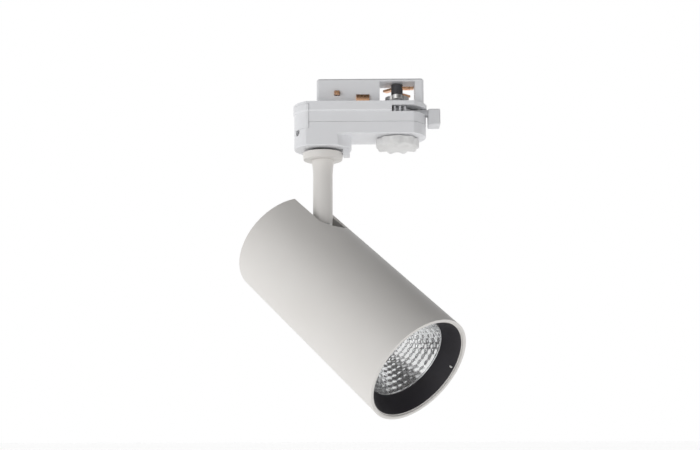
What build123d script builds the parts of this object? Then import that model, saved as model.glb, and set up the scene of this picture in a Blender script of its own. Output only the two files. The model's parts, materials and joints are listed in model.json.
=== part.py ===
from build123d import *
import os
from math import cos, radians, sin

# Spotlight for a three-circuit lighting track, in millimetres.
#
# Frame: the origin is on the stem's axis, in the plane where the adapter seats
# against the underside of the track. +X runs along the track towards the
# selector knob and the locking lever, +Z is up into the track.
#
# Bodies, from the track down: the adapter, which carries the locking lever and
# the selector knob, then the stem, which pans about Z, and the head, which
# tilts on the hinge axle.

# ---- Driving dimensions -----------------------------------------------------

# Adapter shells
knob_distance = 51.0      # from the stem's axis to the selector's axis
body_width = 33.4
end_radius = 19.6         # rounded ends, about the stem's and the selector's axes
shell_wall = 1.6
cover_plate = 2.2         # thickness of the cover's top, under the track
split_depth = 14.1        # joint line of the two shells
arm_depth = 22.4          # underside of the long part
arm_floor = 1.8
block_depth = 30.5        # underside of the block that carries the stem
block_floor = 3.0
rim_depth = 5.9           # the thicker band along the cover's top edge
rim_step = 0.7
edge_round = 0.8
lug_width = 4.4           # small lug beside the swivel collar
lug_length = 10.0
lug_drop = 3.9
lug_gap = 0.3

# End cap, let into the rounded end under the stem side
cap_seam = 8.8            # from the stem's axis to the seam
cap_wall = 1.4
cap_top = 1.8
cap_bottom = 18.4
cap_gap = 0.12
end_post_distance = 11.5  # from the selector's axis to the screw post beside it
wire_way_start = 4.0      # opening in the cover for the wires from the neck
wire_way_half = 4.0

# Neck that enters the track
neck_start = -4.0
neck_end = 69.0
neck_width = 17.2
neck_height = 18.0
neck_wall = 1.8
neck_floor = 2.4
neck_window = 24.0        # opening for the cam and the contacts, along the track
neck_round = 2.0
neck_chamfer = 1.0
neck_roof = 2.1           # over the window
neck_post = 6.8           # solid length beside the window, for a screw
neck_screw_length = 9.0
neck_screw_head = 0.95

# Locking lever and its cam
hub_radius = 7.0
lever_disc_radius = 10.0
lever_thickness = 3.6
lever_top = 3.2           # below the seat plane
lever_arm_width = 7.2
slot_gap = 0.4            # lever to slot
tab_start = 20.9          # from the selector's axis
tab_length = 8.3
tab_width = 13.4
tab_top = 3.0
tab_height = 11.2
tab_round = 0.9
rib_height = 4.5
rib_width = 1.1
rib_angles = (-98.0, -84.0, -69.0)
cam_reach = 11.3
cam_width = 7.0
cam_thickness = 3.0
cam_base = 3.3
cam_rim = 1.2             # ring of the cam round the lever's hub
hub_end = 0.4             # the hub stands this much above the cam
tab_bite = 1.0            # the arm runs this far into the tab
rib_root = 0.5

# Phase selector
shaft_radius = 5.5
spindle_radius = 4.0
pin_radius = 2.5
shoulder_depth = 8.0
detent_radius = 7.5
detent_thickness = 1.5
detent_notch = 0.9
detent_count = 8
knob_radius = 14.8
knob_top = 23.0
knob_height = 7.1
knob_socket_radius = 4.5
knob_socket_depth = 4.0
knob_flutes = 9
flute_radius = 4.0
flute_depth = 0.9
knob_edge = 0.8
contact_reach = 11.5
contact_width = 4.0
contact_thickness = 1.6
contact_low = 8.6
contact_high = 12.4
contact_gap = 0.3
contact_angles = (45.0, 0.0, 135.0)
pin_gap = 0.4             # spindle's shoulder to the neck's roof
neutral_start = 8.0
neutral_base = 6.0
neutral_height = 3.2
neutral_tail = 3.0        # runs down into the terminal space
earth_start = 16.0        # ahead of the neck's window
earth_width = 9.0
earth_height = 6.5
earth_bow = 1.6
earth_strip = 0.9
leaf_thickness = 0.5
leaf_half = 6.0
leaf_gap = 1.6
leaf_bead = 1.0

# Swivel: bush, collar, stop washer and nut on the stem's spigot
spigot_radius = 5.0
spigot_bore = 3.2
spigot_top = 16.8
bush_radius = 8.0
bush_flange = 9.4
bush_drop = 1.7
collar_radius = 13.7
collar_taper = 0.5
collar_height = 5.0
stop_washer_radius = 9.0
stop_washer_thickness = 1.25
stop_tooth_reach = 12.5
stop_tooth_width = 2.0
stop_rib_width = 1.6
swivel_nut_radius = 8.0
nut_flats = 14.0
nut_face_gap = 0.5        # the nut's end to the spigot's end
nut_flat_depth = 2.5
running_gap = 0.06

# Grub screw that brakes the pan
grub_angle = 59.0         # from -Y towards -X
grub_depth = 20.0
grub_radius = 2.5
grub_boss_radius = 4.2
grub_recess_radius = 2.6
grub_outer = 16.6         # outer end of the screw, from the stem's axis
hex_key = 2.5
hex_key_depth = 2.5
boss_clearance = 2.0      # boss to nut

# Shell screws
screw_radius = 1.3
screw_head_radius = 2.3
screw_head_height = 1.6
screw_clearance = 0.15
post_radius = 2.5
post_sink = 0.4           # posts run into the side walls
shell_screw_depth = 19.5
post_bottom = 20.3
cross_length = 2.6        # cross recess in the screw heads
cross_width = 0.7
cross_depth = 0.9
head_sink = 0.1           # screw heads lie this much under the face

# Stem
stem_radius = 6.65
flare_growth = 1.1        # wider by this under the collar
stem_flare_length = 12.0
stem_bore = 4.6
bore_step = 3.0           # the spigot's narrower bore ends this far under the collar
pivot_drop = 95.4         # from the seat plane down to the tilt axis

# Knuckle and hinge
knuckle_radius = 7.5
knuckle_thickness = 9.0
knuckle_shoulder = 12.0   # from the tilt axis up to the round part
shoulder_height = 2.0
knuckle_spigot = 12.0
knuckle_inset = 0.5       # flat sides, in from the round part
wire_exit = 2.5           # from the shoulder down to the wires' way out
cheek_thickness = 2.5
washer_thickness = 0.85
washer_radius = 6.8
axle_radius = 2.5
axle_head_radius = 4.4
axle_head_height = 2.8
axle_key = 3.0
axle_key_depth = 1.6
axle_end = 1.0            # stands out of the nut
nut_across = 8.0
nut_height = 3.6

# Head
pan = -41.5               # degrees from +X, as the head points at rest
tilt = 37.3               # degrees below the horizon at rest
tube_radius = 37.5
tube_wall = 1.5
tube_length = 149.0
pivot_from_rear = 31.0
pivot_height = 19.0       # tilt axis above the tube's axis
notch_width = 24.5
notch_length = 39.0
fit_gap = 0.05

# Rear cap
cap_plate = 2.0
cap_recess = 1.5
cap_screw_offset = 14.0
cap_screw_head = 1.2
cap_screw_length = 5.5

# Optics, measured back from the front edge
baffle_front = 1.3
baffle_depth = 13.7
reflector_radius = 28.0
reflector_height = 28.2
reflector_neck = 8.2
reflector_wall = 1.0
trim_wall = 1.15
trim_length = 16.0
trim_ledge = 1.4
trim_clearance = 0.3      # ledge to reflector
accessory_step = 0.5      # the recess for a louvre or a filter, over the baffle
seat_gap = 0.1
baffle_wall = 1.2
clip_width = 1.1
clip_angle = 3.0
clip_count = 2
clip_length = 1.8
clip_setback = 1.0        # behind the baffle's mouth
clip_depth = 1.6
clip_slot = 4.4
clip_slot_gap = 0.2

# Light source and cooling
holder_height = 3.3
holder_radius = 17.0
holder_opening = 8.4
board_side = 19.0
board_thickness = 1.2
emitter_radius = 6.5
emitter_height = 0.5
holder_screw_offset = 13.2
sink_base = 4.5
sink_length = 27.5
sink_core_radius = 13.0
fin_count = 20
fin_thickness = 1.5
lead_radius = 0.8
lead_drop = 10.5
lead_hole = 1.9
lead_pitch = 1.8
fin_root = 0.5            # the fins start inside the core and end short of the tube
board_gap = 0.1
thread_depth = 8.0
holder_screw_length = 9.0

# Bracket and driver
bracket_plate = 2.5
bracket_width = 30.0
bracket_bottom = 16.0
bracket_screw_offset = 8.0
driver_room = 5.5         # behind the bracket
driver_start = 7.0
driver_width = 42.0
driver_bottom = 27.0
driver_height = 31.0
driver_wall = 1.2
driver_lid_height = 6.0
circuit_thickness = 1.6
circuit_margin = 1.5
circuit_lift = 3.0        # on its feet, above the case's floor
circuit_inset = 3.5       # from the case's rear wall
foot_radius = 1.5
foot_inset = 4.0
transformer_place = 0.37  # places on the board are shares of its length
transformer_length = 17.0
transformer_width = 18.0
transformer_height = 14.0
# Place along, place across, radius and height.
capacitors = ((0.15, 9.0, 4.0, 14.0), (0.82, -9.0, 5.0, 15.0), (0.82, 9.0, 3.2, 11.0))
# Place along, place across, length, width and height.
power_devices = ((0.08, -8.0, 4.0, 8.0, 9.0), (0.37, 13.5, 10.0, 3.0, 10.0))
wire_radius = 0.9
wire_ring = 1.7
wire_stub = 2.0

# Terminal block
terminal_start = 13.0
terminal_length = 8.0
terminal_width = 17.0
terminal_top = 4.6
terminal_height = 8.0
terminal_pitch = 5.0
terminal_entry_gap = 0.6
terminal_screw_radius = 1.7
terminal_screw_depth = 2.2
post_gap = 0.5            # screw post to terminal block

# ---- Derived places and planes ----------------------------------------------

half_width = body_width / 2
knob_axis = Vector(knob_distance, 0, 0)
post_side = half_width - shell_wall - post_radius + post_sink
post_middle = terminal_start + terminal_length + post_radius + post_gap
shell_screw_places = [
    (-end_radius + cap_wall + shell_wall + post_radius - post_sink, 0),
    (post_middle, post_side),
    (post_middle, -post_side),
    (knob_distance + end_post_distance, post_side),
]
window_low = knob_distance - neck_window / 2
window_high = knob_distance + neck_window / 2
window_top = neck_height - neck_roof
neck_screw_places = [(window_low - neck_post / 2, 0), ((window_high + neck_end) / 2, 0)]
knob_place = (knob_distance, 0)
everything = 3 * (knob_distance + end_radius)   # longer than the adapter each way
collar_top = block_depth + bush_drop + running_gap
collar_bottom = collar_top + collar_height
washer_bottom = block_depth - block_floor - running_gap
washer_top = washer_bottom - stop_washer_thickness
stem_flare = stem_radius + flare_growth
stem_end = pivot_drop - knuckle_shoulder - shoulder_height

pan_direction = Vector(cos(radians(pan)), sin(radians(pan)), 0)
side = Vector(-sin(radians(pan)), cos(radians(pan)), 0)
forward = pan_direction * cos(radians(tilt)) + Vector(0, 0, -sin(radians(tilt)))
upward = pan_direction * sin(radians(tilt)) + Vector(0, 0, cos(radians(tilt)))
pivot = Vector(0, 0, -pivot_drop)
tube_rear = pivot - forward * pivot_from_rear - upward * pivot_height
tube_axis = Axis(tube_rear, forward)
tube_bore = tube_radius - tube_wall

head = Plane(origin=tube_rear, x_dir=side, z_dir=forward)
head_section = Plane(origin=tube_rear, x_dir=forward, z_dir=side * -1)
head_top = Plane(origin=tube_rear, x_dir=forward, z_dir=upward)
hinge = Plane(origin=pivot, x_dir=forward, z_dir=side)
stem_side = Plane(origin=pivot, x_dir=pan_direction, z_dir=side * -1)
grub_direction = Vector(-sin(radians(grub_angle)), -cos(radians(grub_angle)), 0)
grub = Plane(origin=(0, 0, -grub_depth), z_dir=grub_direction)

cheek_start = knuckle_thickness / 2 + running_gap + washer_thickness
cheek_end = cheek_start + cheek_thickness
rim_seat = tube_length - baffle_depth
reflector_seat = rim_seat - reflector_height
sink_front = reflector_seat - holder_height - seat_gap
sink_rear = sink_front - sink_length
bracket_rear = sink_rear - bracket_plate
driver_length = bracket_rear - driver_room - driver_start
trim_bore = tube_bore - fit_gap - trim_wall
trim_rear = tube_length - trim_length
baffle_mouth = tube_length - baffle_front
baffle_outer = trim_bore - fit_gap
clip_rear = baffle_mouth - clip_setback - clip_length


# ---- Shapes that repeat -----------------------------------------------------

def below(depth, at=(0.0, 0.0)):
    """A level plane at a depth under the seat."""
    return Plane(origin=(at[0], at[1], -depth))


def bar(plane, radius, length, mode=Mode.ADD):
    """A round bar that stands on a plane."""
    with BuildSketch(plane) as outline:
        Circle(radius)
    extrude(outline.sketch, amount=length, mode=mode)


def ring(plane, outer, inner, length, mode=Mode.ADD):
    """A round tube that stands on a plane."""
    with BuildSketch(plane) as outline:
        Circle(outer)
        Circle(inner, mode=Mode.SUBTRACT)
    extrude(outline.sketch, amount=length, mode=mode)


def slab(plane, low, high, length, mode=Mode.ADD):
    """A rectangular bar that stands on a plane, between two corners of its outline."""
    with BuildSketch(plane) as outline:
        with Locations(((low[0] + high[0]) / 2, (low[1] + high[1]) / 2)):
            Rectangle(high[0] - low[0], high[1] - low[1])
    extrude(outline.sketch, amount=length, mode=mode)


def turned(points, plane=head_section, axis=tube_axis, mode=Mode.ADD):
    """A turned piece, from a closed outline of places along and away from its axis."""
    with BuildSketch(plane) as outline:
        with BuildLine():
            Polyline(*points, close=True)
        make_face()
    revolve(outline.sketch, axis=axis, mode=mode)


def cross_recess(plane, depth):
    """A cross recess, cut from a screw head's face."""
    with BuildSketch(plane) as outline:
        SlotOverall(cross_length, cross_width)
        SlotOverall(cross_length, cross_width, rotation=90)
    extrude(outline.sketch, amount=depth, mode=Mode.SUBTRACT)


def across_head(distance, across, below_axis=0.0):
    """A plane square to the tube, off its axis, for a screw or a post."""
    at = head.offset(distance).origin + side * across - upward * below_axis
    return Plane(origin=at, x_dir=side, z_dir=forward)


def body_plan(plane, grow=0.0):
    """The adapter's outline: two rounded ends with flat sides between them."""
    with BuildSketch(plane) as outline:
        with Locations((knob_distance / 2, 0)):
            SlotCenterToCenter(knob_distance, 2 * (end_radius + grow))
            Rectangle(knob_distance + 3 * end_radius, body_width + 2 * grow, mode=Mode.INTERSECT)
    return outline.sketch


def block_plan(plane, grow=0.0):
    """The outline of the deeper block round the stem's axis."""
    with BuildSketch(plane) as outline:
        Circle(end_radius + grow)
        Rectangle(3 * end_radius, body_width + 2 * grow, mode=Mode.INTERSECT)
    return outline.sketch


def cavity_plan(plane):
    """The hollow inside both shells, set back behind the end cap."""
    with BuildSketch(plane) as outline:
        add(body_plan(Plane.XY, -shell_wall))
        with Locations((-2 * end_radius - cap_seam + shell_wall, 0)):
            Rectangle(4 * end_radius, 3 * end_radius, mode=Mode.SUBTRACT)
        add(body_plan(Plane.XY, -shell_wall - cap_wall))
    return outline.sketch


# ---- Adapter shells ---------------------------------------------------------

# The outside of the whole adapter, which the shells and the end cap are cut from.
with BuildPart() as outside:
    extrude(body_plan(below(rim_depth + rim_step), rim_step), amount=rim_depth + rim_step)
    chamfer(outside.faces().sort_by(Axis.Z)[0].outer_wire().edges(), rim_step - 0.05)
    extrude(body_plan(below(arm_depth)), amount=arm_depth)
    fillet(outside.faces().sort_by(Axis.Z)[0].outer_wire().edges(), edge_round)
    extrude(block_plan(below(block_depth)), amount=block_depth - split_depth)
    fillet(outside.faces().sort_by(Axis.Z)[0].outer_wire().edges(), edge_round)

# The space of the end cap, and the same space with room round it.
with BuildPart() as cap_space:
    slab(below(cap_bottom), (-2 * end_radius, -end_radius), (-cap_seam, end_radius), cap_bottom - cap_top)
    extrude(body_plan(below(cap_bottom), -cap_wall), amount=cap_bottom, mode=Mode.SUBTRACT)

with BuildPart() as cap_recess_space:
    slab(
        below(cap_bottom + cap_gap),
        (-2 * end_radius, -end_radius),
        (-cap_seam + cap_gap, end_radius),
        cap_bottom - cap_top + 2 * cap_gap,
    )
    extrude(body_plan(below(block_depth), -cap_wall - fit_gap), amount=block_depth, mode=Mode.SUBTRACT)

with BuildPart() as end_cap:
    add(outside.part)
    add(cap_space.part, mode=Mode.INTERSECT)

slot_top = lever_top - slot_gap
slot_height = lever_thickness + 2 * slot_gap
slot_half = lever_arm_width / 2 + slot_gap

with BuildPart() as adapter_cover:
    add(outside.part)
    with BuildSketch(below(split_depth)) as under_split:
        Rectangle(2 * everything, 2 * everything)
    extrude(under_split.sketch, amount=-everything, mode=Mode.SUBTRACT)
    extrude(cavity_plan(below(split_depth)), amount=split_depth - cover_plate, mode=Mode.SUBTRACT)
    for place in shell_screw_places:
        bar(below(split_depth, place), post_radius, split_depth - cover_plate)
    add(cap_recess_space.part, mode=Mode.SUBTRACT)
    # The slot for the lever runs from the near side round the end.
    slab(
        below(slot_top + slot_height),
        (knob_distance - slot_half, -2 * end_radius),
        (knob_distance + 2 * end_radius, slot_half),
        slot_height,
        Mode.SUBTRACT,
    )
    for place in shell_screw_places:
        bar(below(split_depth, place), screw_radius + screw_clearance, split_depth, Mode.SUBTRACT)
        bar(
            below(screw_head_height + screw_clearance, place),
            screw_head_radius + screw_clearance,
            screw_head_height + screw_clearance,
            Mode.SUBTRACT,
        )
    for place in neck_screw_places:
        bar(below(cover_plate, place), screw_radius + screw_clearance, cover_plate, Mode.SUBTRACT)
    bar(below(split_depth, knob_place), hub_radius + running_gap, split_depth, Mode.SUBTRACT)
    slab(
        below(split_depth),
        (wire_way_start, -wire_way_half),
        (terminal_start - 1, wire_way_half),
        split_depth,
        Mode.SUBTRACT,
    )

with BuildPart() as adapter_base:
    add(outside.part)
    extrude(under_split.sketch, amount=split_depth, mode=Mode.SUBTRACT)
    extrude(cavity_plan(below(arm_depth - arm_floor)), amount=arm_depth, mode=Mode.SUBTRACT)
    extrude(
        block_plan(below(block_depth - block_floor), -shell_wall - cap_wall),
        amount=block_depth,
        mode=Mode.SUBTRACT,
    )
    for place in shell_screw_places:
        bar(below(post_bottom, place), post_radius, post_bottom - split_depth)
    # The boss of the grub screw, from the wall in to just clear of the nut.
    bar(
        grub.offset(swivel_nut_radius + boss_clearance),
        grub_boss_radius,
        end_radius - swivel_nut_radius - boss_clearance - shell_wall / 2,
    )
    # The rib that stops the pan, on the block's floor.
    slab(
        below(block_depth - block_floor + 1),
        (-end_radius + shell_wall, -stop_rib_width / 2),
        (-stop_washer_radius - 1.5, stop_rib_width / 2),
        stop_washer_thickness + 1.2,
    )
    # The lug under the block, beside the swivel collar.
    slab(
        below(block_depth + lug_drop),
        (collar_radius + lug_gap, -lug_length / 2),
        (collar_radius + lug_gap + lug_width, lug_length / 2),
        lug_drop + block_floor / 2,
    )
    add(cap_recess_space.part, mode=Mode.SUBTRACT)
    for place in shell_screw_places:
        bar(below(post_bottom, place), screw_radius, post_bottom, Mode.SUBTRACT)
    bar(grub, grub_radius, end_radius, Mode.SUBTRACT)
    bar(grub.offset(grub_outer), grub_recess_radius, end_radius, Mode.SUBTRACT)
    bar(below(block_depth + 1), bush_radius, block_floor + 2, Mode.SUBTRACT)
    bar(
        below(arm_depth + 1, knob_place),
        shaft_radius + running_gap,
        arm_floor + 2,
        Mode.SUBTRACT,
    )

with BuildPart() as shell_screws:
    for place in shell_screw_places:
        bar(below(shell_screw_depth, place), screw_radius, shell_screw_depth - 2 * head_sink)
        bar(below(screw_head_height, place), screw_head_radius, screw_head_height - head_sink)
        cross_recess(below(head_sink, place), -cross_depth)

# ---- Neck, terminal block and fixed contacts --------------------------------

with BuildPart() as track_neck:
    with BuildSketch(Plane.XY) as neck_outline:
        with Locations(((neck_start + neck_end) / 2, 0)):
            RectangleRounded(neck_end - neck_start, neck_width, neck_round)
    extrude(neck_outline.sketch, amount=neck_height)
    chamfer(track_neck.faces().sort_by(Axis.Z)[-1].outer_wire().edges(), neck_chamfer)
    slab(
        Plane.XY,
        (neck_start + neck_wall, -neck_width / 2 + neck_wall),
        (window_low - neck_post, neck_width / 2 - neck_wall),
        neck_height - neck_wall,
        Mode.SUBTRACT,
    )
    slab(
        Plane.XY.offset(neck_floor),
        (window_low, -neck_width),
        (window_high, neck_width),
        window_top - neck_floor,
        Mode.SUBTRACT,
    )
    bar(Plane(origin=knob_axis), hub_radius + running_gap, neck_floor, Mode.SUBTRACT)
    bar(Plane(origin=knob_axis), pin_radius + running_gap, neck_height, Mode.SUBTRACT)
    for place in neck_screw_places:
        bar(Plane(origin=(*place, 0)), screw_radius, neck_screw_length, Mode.SUBTRACT)
    slab(
        Plane.XY.offset(neutral_base),
        (neutral_start, -neck_width),
        (neutral_start + contact_width, 0),
        neutral_height,
        Mode.SUBTRACT,
    )

with BuildPart() as neck_screws:
    for place in neck_screw_places:
        bar(below(cover_plate + head_sink, place), screw_radius, cover_plate + neck_screw_length)
        bar(below(cover_plate + neck_screw_head, place), screw_head_radius, neck_screw_head)

with BuildPart() as neutral_contact:
    slab(
        Plane.XY.offset(neutral_base + contact_gap),
        (neutral_start + contact_gap, -contact_reach),
        (neutral_start + contact_width - contact_gap, neck_width / 2 - neck_wall - 1),
        neutral_height - 2 * contact_gap,
    )
    slab(
        Plane.XY.offset(-cover_plate - neutral_tail),
        (neutral_start + contact_gap, -contact_width * contact_gap),
        (neutral_start + contact_width - contact_gap, contact_width * contact_gap),
        neutral_base + cover_plate + neutral_tail + 1,
    )

with BuildPart() as earth_contacts:
    neck_face = neck_width / 2 + fit_gap
    for turn in (1, -1):
        with BuildSketch(Plane.YZ.offset(window_low - earth_start)) as leaf:
            with BuildLine():
                Polyline(
                    (turn * neck_face, 2 * fit_gap),
                    (turn * (neck_face + 2 * earth_strip), 2 * fit_gap),
                    (turn * (neck_face + 2 * earth_strip), earth_strip),
                    (turn * (neck_face + earth_strip), earth_strip + fit_gap),
                    (turn * (neck_face + earth_bow), 0.6 * earth_height),
                    (turn * (neck_face + earth_strip - fit_gap), earth_height),
                    (turn * neck_face, earth_height),
                    close=True,
                )
            make_face()
        extrude(leaf.sketch, amount=earth_width)

with BuildPart() as terminal_block:
    slab(
        below(terminal_top + terminal_height),
        (terminal_start, -terminal_width / 2),
        (terminal_start + terminal_length, terminal_width / 2),
        terminal_height,
    )
    for offset in (-1, 0, 1):
        entry = Plane(
            origin=(terminal_start, offset * terminal_pitch, -terminal_top - terminal_height / 2),
            z_dir=(1, 0, 0),
        )
        bar(entry, wire_radius + terminal_entry_gap, terminal_length / 2, Mode.SUBTRACT)
        screw_place = (terminal_start + terminal_length / 3, offset * terminal_pitch)
        screw_hole = below(terminal_top + terminal_screw_depth, screw_place)
        bar(screw_hole, terminal_screw_radius, terminal_screw_depth, Mode.SUBTRACT)

with BuildPart() as adapter_wires:
    for offset in (-1, 0, 1):
        entry = Plane(
            origin=(spigot_radius, offset * terminal_pitch, -terminal_top - terminal_height / 2),
            z_dir=(1, 0, 0),
        )
        bar(entry, wire_radius, terminal_start - spigot_radius + wire_stub)

# ---- Locking lever and cam --------------------------------------------------

lever_plane = below(lever_top + lever_thickness, knob_place)

with BuildPart() as locking_lever:
    bar(lever_plane, lever_disc_radius, lever_thickness)
    slab(lever_plane, (0, -lever_arm_width / 2), (tab_start + tab_bite, lever_arm_width / 2), lever_thickness)
    for angle in rib_angles:
        rib_place = Vector(cos(radians(angle)), sin(radians(angle)), 0)
        rib_plane = Plane(
            origin=lever_plane.origin + rib_place * (lever_disc_radius - rib_root),
            x_dir=rib_place,
        )
        slab(rib_plane, (0, -rib_width / 2), (rib_root + rib_height, rib_width / 2), lever_thickness)
    with BuildPart(mode=Mode.PRIVATE) as tab:
        slab(
            below(tab_top + tab_height, knob_place),
            (tab_start, -tab_width / 2),
            (tab_start + tab_length, tab_width / 2),
            tab_height,
        )
        fillet(tab.edges(), tab_round)
    add(tab.part)
    bar(lever_plane, hub_radius, lever_top + lever_thickness + cam_base + cam_thickness + hub_end)
    bar(lever_plane, spindle_radius + running_gap, everything, Mode.SUBTRACT)

with BuildPart() as lock_cam:
    with BuildSketch(Plane(origin=knob_axis + Vector(0, 0, cam_base))) as cam_outline:
        Circle(hub_radius + cam_rim)
        SlotOverall(2 * cam_reach, cam_width, rotation=90)
        Circle(hub_radius, mode=Mode.SUBTRACT)
    extrude(cam_outline.sketch, amount=cam_thickness)

# ---- Phase selector ---------------------------------------------------------

detent_base = arm_depth - arm_floor - running_gap
spindle_top = window_top - pin_gap

with BuildPart() as selector_shaft:
    bar(below(knob_top + knob_socket_depth, knob_place), knob_socket_radius, knob_socket_depth)
    bar(below(knob_top, knob_place), shaft_radius, knob_top - shoulder_depth)
    with BuildSketch(below(detent_base, knob_place)) as star:
        Circle(detent_radius)
        with PolarLocations(detent_radius, detent_count):
            Circle(detent_notch, mode=Mode.SUBTRACT)
    extrude(star.sketch, amount=detent_thickness)
    bar(below(shoulder_depth, knob_place), spindle_radius, shoulder_depth + spindle_top)
    bar(below(-spindle_top, knob_place), pin_radius, neck_height - spindle_top - contact_gap)

with BuildPart() as selector_knob:
    with BuildSketch(below(knob_top + knob_height, knob_place)) as knob_outline:
        Circle(knob_radius)
        with PolarLocations(knob_radius + flute_radius - flute_depth, knob_flutes, start_angle=90):
            Circle(flute_radius, mode=Mode.SUBTRACT)
    extrude(knob_outline.sketch, amount=knob_height)
    chamfer(selector_knob.faces().sort_by(Axis.Z)[0].outer_wire().edges(), knob_edge)
    bar(
        below(knob_top + knob_socket_depth, knob_place),
        knob_socket_radius,
        knob_socket_depth,
        Mode.SUBTRACT,
    )

with BuildPart() as phase_contacts:
    for angle, height in zip(contact_angles, (contact_low, contact_high, contact_high)):
        blade_plane = Plane(
            origin=knob_axis + Vector(0, 0, height),
            x_dir=(cos(radians(angle)), sin(radians(angle)), 0),
        )
        slab(blade_plane, (0, -contact_width / 2), (contact_reach, contact_width / 2), contact_thickness)
        bar(blade_plane, spindle_radius, contact_thickness, Mode.SUBTRACT)

with BuildPart() as detent_spring:
    leaf_start = knob_distance - detent_radius - leaf_gap
    leaf_low = below(detent_base - seat_gap)
    leaf_height = detent_thickness + 4 * seat_gap
    slab(leaf_low, (leaf_start - leaf_thickness, -leaf_half), (leaf_start, leaf_half), leaf_height)
    bar(below(detent_base - seat_gap, (leaf_start + 2 * seat_gap, 0)), leaf_bead, leaf_height)

# ---- Swivel -----------------------------------------------------------------

with BuildPart() as swivel_bush:
    bar(below(block_depth), bush_radius, block_floor)
    bar(below(block_depth + bush_drop), bush_flange, bush_drop)
    bar(below(block_depth + bush_drop), spigot_radius + running_gap, everything, Mode.SUBTRACT)

with BuildPart() as grub_screw:
    bar(
        grub.offset(swivel_nut_radius + 2 * running_gap),
        grub_radius,
        grub_outer - swivel_nut_radius - 2 * running_gap,
    )
    with BuildSketch(grub.offset(grub_outer)) as key:
        RegularPolygon(hex_key / 2, 6, major_radius=False)
    extrude(key.sketch, amount=-hex_key_depth, mode=Mode.SUBTRACT)

with BuildPart() as swivel_collar:
    turned(
        [
            (spigot_radius, -collar_bottom),
            (collar_radius - collar_taper, -collar_bottom),
            (collar_radius, -collar_bottom + collar_height * 0.6),
            (collar_radius, -collar_top),
            (spigot_radius, -collar_top),
        ],
        Plane.XZ,
        Axis.Z,
    )

with BuildPart() as stop_washer:
    with BuildSketch(below(washer_bottom)) as tooth_outline:
        Circle(stop_washer_radius)
        with Locations(Rotation(0, 0, pan)):
            with Locations((stop_tooth_reach / 2, 0)):
                Rectangle(stop_tooth_reach, stop_tooth_width)
        Circle(spigot_radius, mode=Mode.SUBTRACT)
    extrude(tooth_outline.sketch, amount=stop_washer_thickness)

with BuildPart() as swivel_nut:
    ring(below(washer_top), swivel_nut_radius, spigot_radius, washer_top - spigot_top - nut_face_gap)
    with BuildSketch(below(spigot_top + nut_flat_depth)) as flats:
        Circle(2 * swivel_nut_radius)
        Rectangle(nut_flats, 4 * swivel_nut_radius, mode=Mode.SUBTRACT)
    extrude(flats.sketch, amount=nut_flat_depth, mode=Mode.SUBTRACT)

# ---- Stem and knuckle -------------------------------------------------------

with BuildPart() as stem_tube:
    with BuildSketch(Plane.XZ) as stem_outline:
        with BuildLine():
            Polyline(
                (spigot_bore, -collar_bottom - bore_step),
                (spigot_bore, -spigot_top),
                (spigot_radius, -spigot_top),
                (spigot_radius, -collar_bottom),
                (stem_flare, -collar_bottom),
            )
            TangentArc(
                (stem_radius, -collar_bottom - stem_flare_length),
                (stem_flare, -collar_bottom),
                tangent=(0, -1),
                tangent_from_first=False,
            )
            Polyline(
                (stem_radius, -collar_bottom - stem_flare_length),
                (stem_radius, -stem_end),
                (stem_bore, -stem_end),
                (stem_bore, -collar_bottom - bore_step),
                (spigot_bore, -collar_bottom - bore_step),
            )
        make_face()
    revolve(stem_outline.sketch, axis=Axis.Z)

with BuildPart() as stem_knuckle:
    with BuildSketch(stem_side) as eye:
        Circle(knuckle_radius)
        with Locations((0, knuckle_shoulder / 2)):
            Rectangle(2 * (stem_radius - knuckle_inset), knuckle_shoulder)
    extrude(eye.sketch, amount=knuckle_thickness / 2, both=True)
    bar(below(pivot_drop - knuckle_shoulder), stem_radius, shoulder_height)
    bar(below(stem_end), stem_bore, knuckle_spigot)
    wire_floor = pivot_drop - knuckle_shoulder + wire_exit
    bar(below(wire_floor), spigot_bore, knuckle_shoulder + knuckle_spigot, Mode.SUBTRACT)
    # The way out for the wires, on the side away from the lamp's front.
    slab(
        Plane(origin=(0, 0, -wire_floor), x_dir=pan_direction),
        (-2 * stem_radius, -spigot_bore),
        (0, spigot_bore),
        knuckle_radius,
        Mode.SUBTRACT,
    )
    bar(hinge.offset(-knuckle_thickness), axle_radius + running_gap, 2 * knuckle_thickness, Mode.SUBTRACT)

with BuildPart() as supply_wires:
    with BuildSketch(below(stem_end + wire_radius)) as wire_ends:
        with PolarLocations(wire_ring, 3):
            Circle(wire_radius)
    extrude(wire_ends.sketch, amount=stem_end - spigot_top + 2 * wire_stub)

# ---- Hinge ------------------------------------------------------------------

with BuildPart() as hinge_bracket:
    for near, far in ((cheek_start, cheek_end), (-cheek_end, -cheek_start)):
        with BuildSketch(hinge.offset(near)) as cheek:
            Circle(knuckle_radius)
            with Locations(((bracket_rear - pivot_from_rear) / 2, 0)):
                Rectangle(bracket_rear - pivot_from_rear, 2 * knuckle_radius)
        extrude(cheek.sketch, amount=far - near)
    slab(
        head.offset(bracket_rear),
        (-bracket_width / 2, -bracket_bottom),
        (bracket_width / 2, pivot_height + knuckle_radius),
        bracket_plate,
    )
    bar(hinge.offset(-2 * cheek_end), axle_radius, 4 * cheek_end, Mode.SUBTRACT)
    with BuildSketch(head.offset(bracket_rear)) as openings:
        with Locations((bracket_screw_offset, 0), (-bracket_screw_offset, 0)):
            Circle(screw_radius + screw_clearance)
        with Locations((0, -lead_drop)):
            Circle(lead_hole)
    extrude(openings.sketch, amount=bracket_plate, mode=Mode.SUBTRACT)

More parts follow.
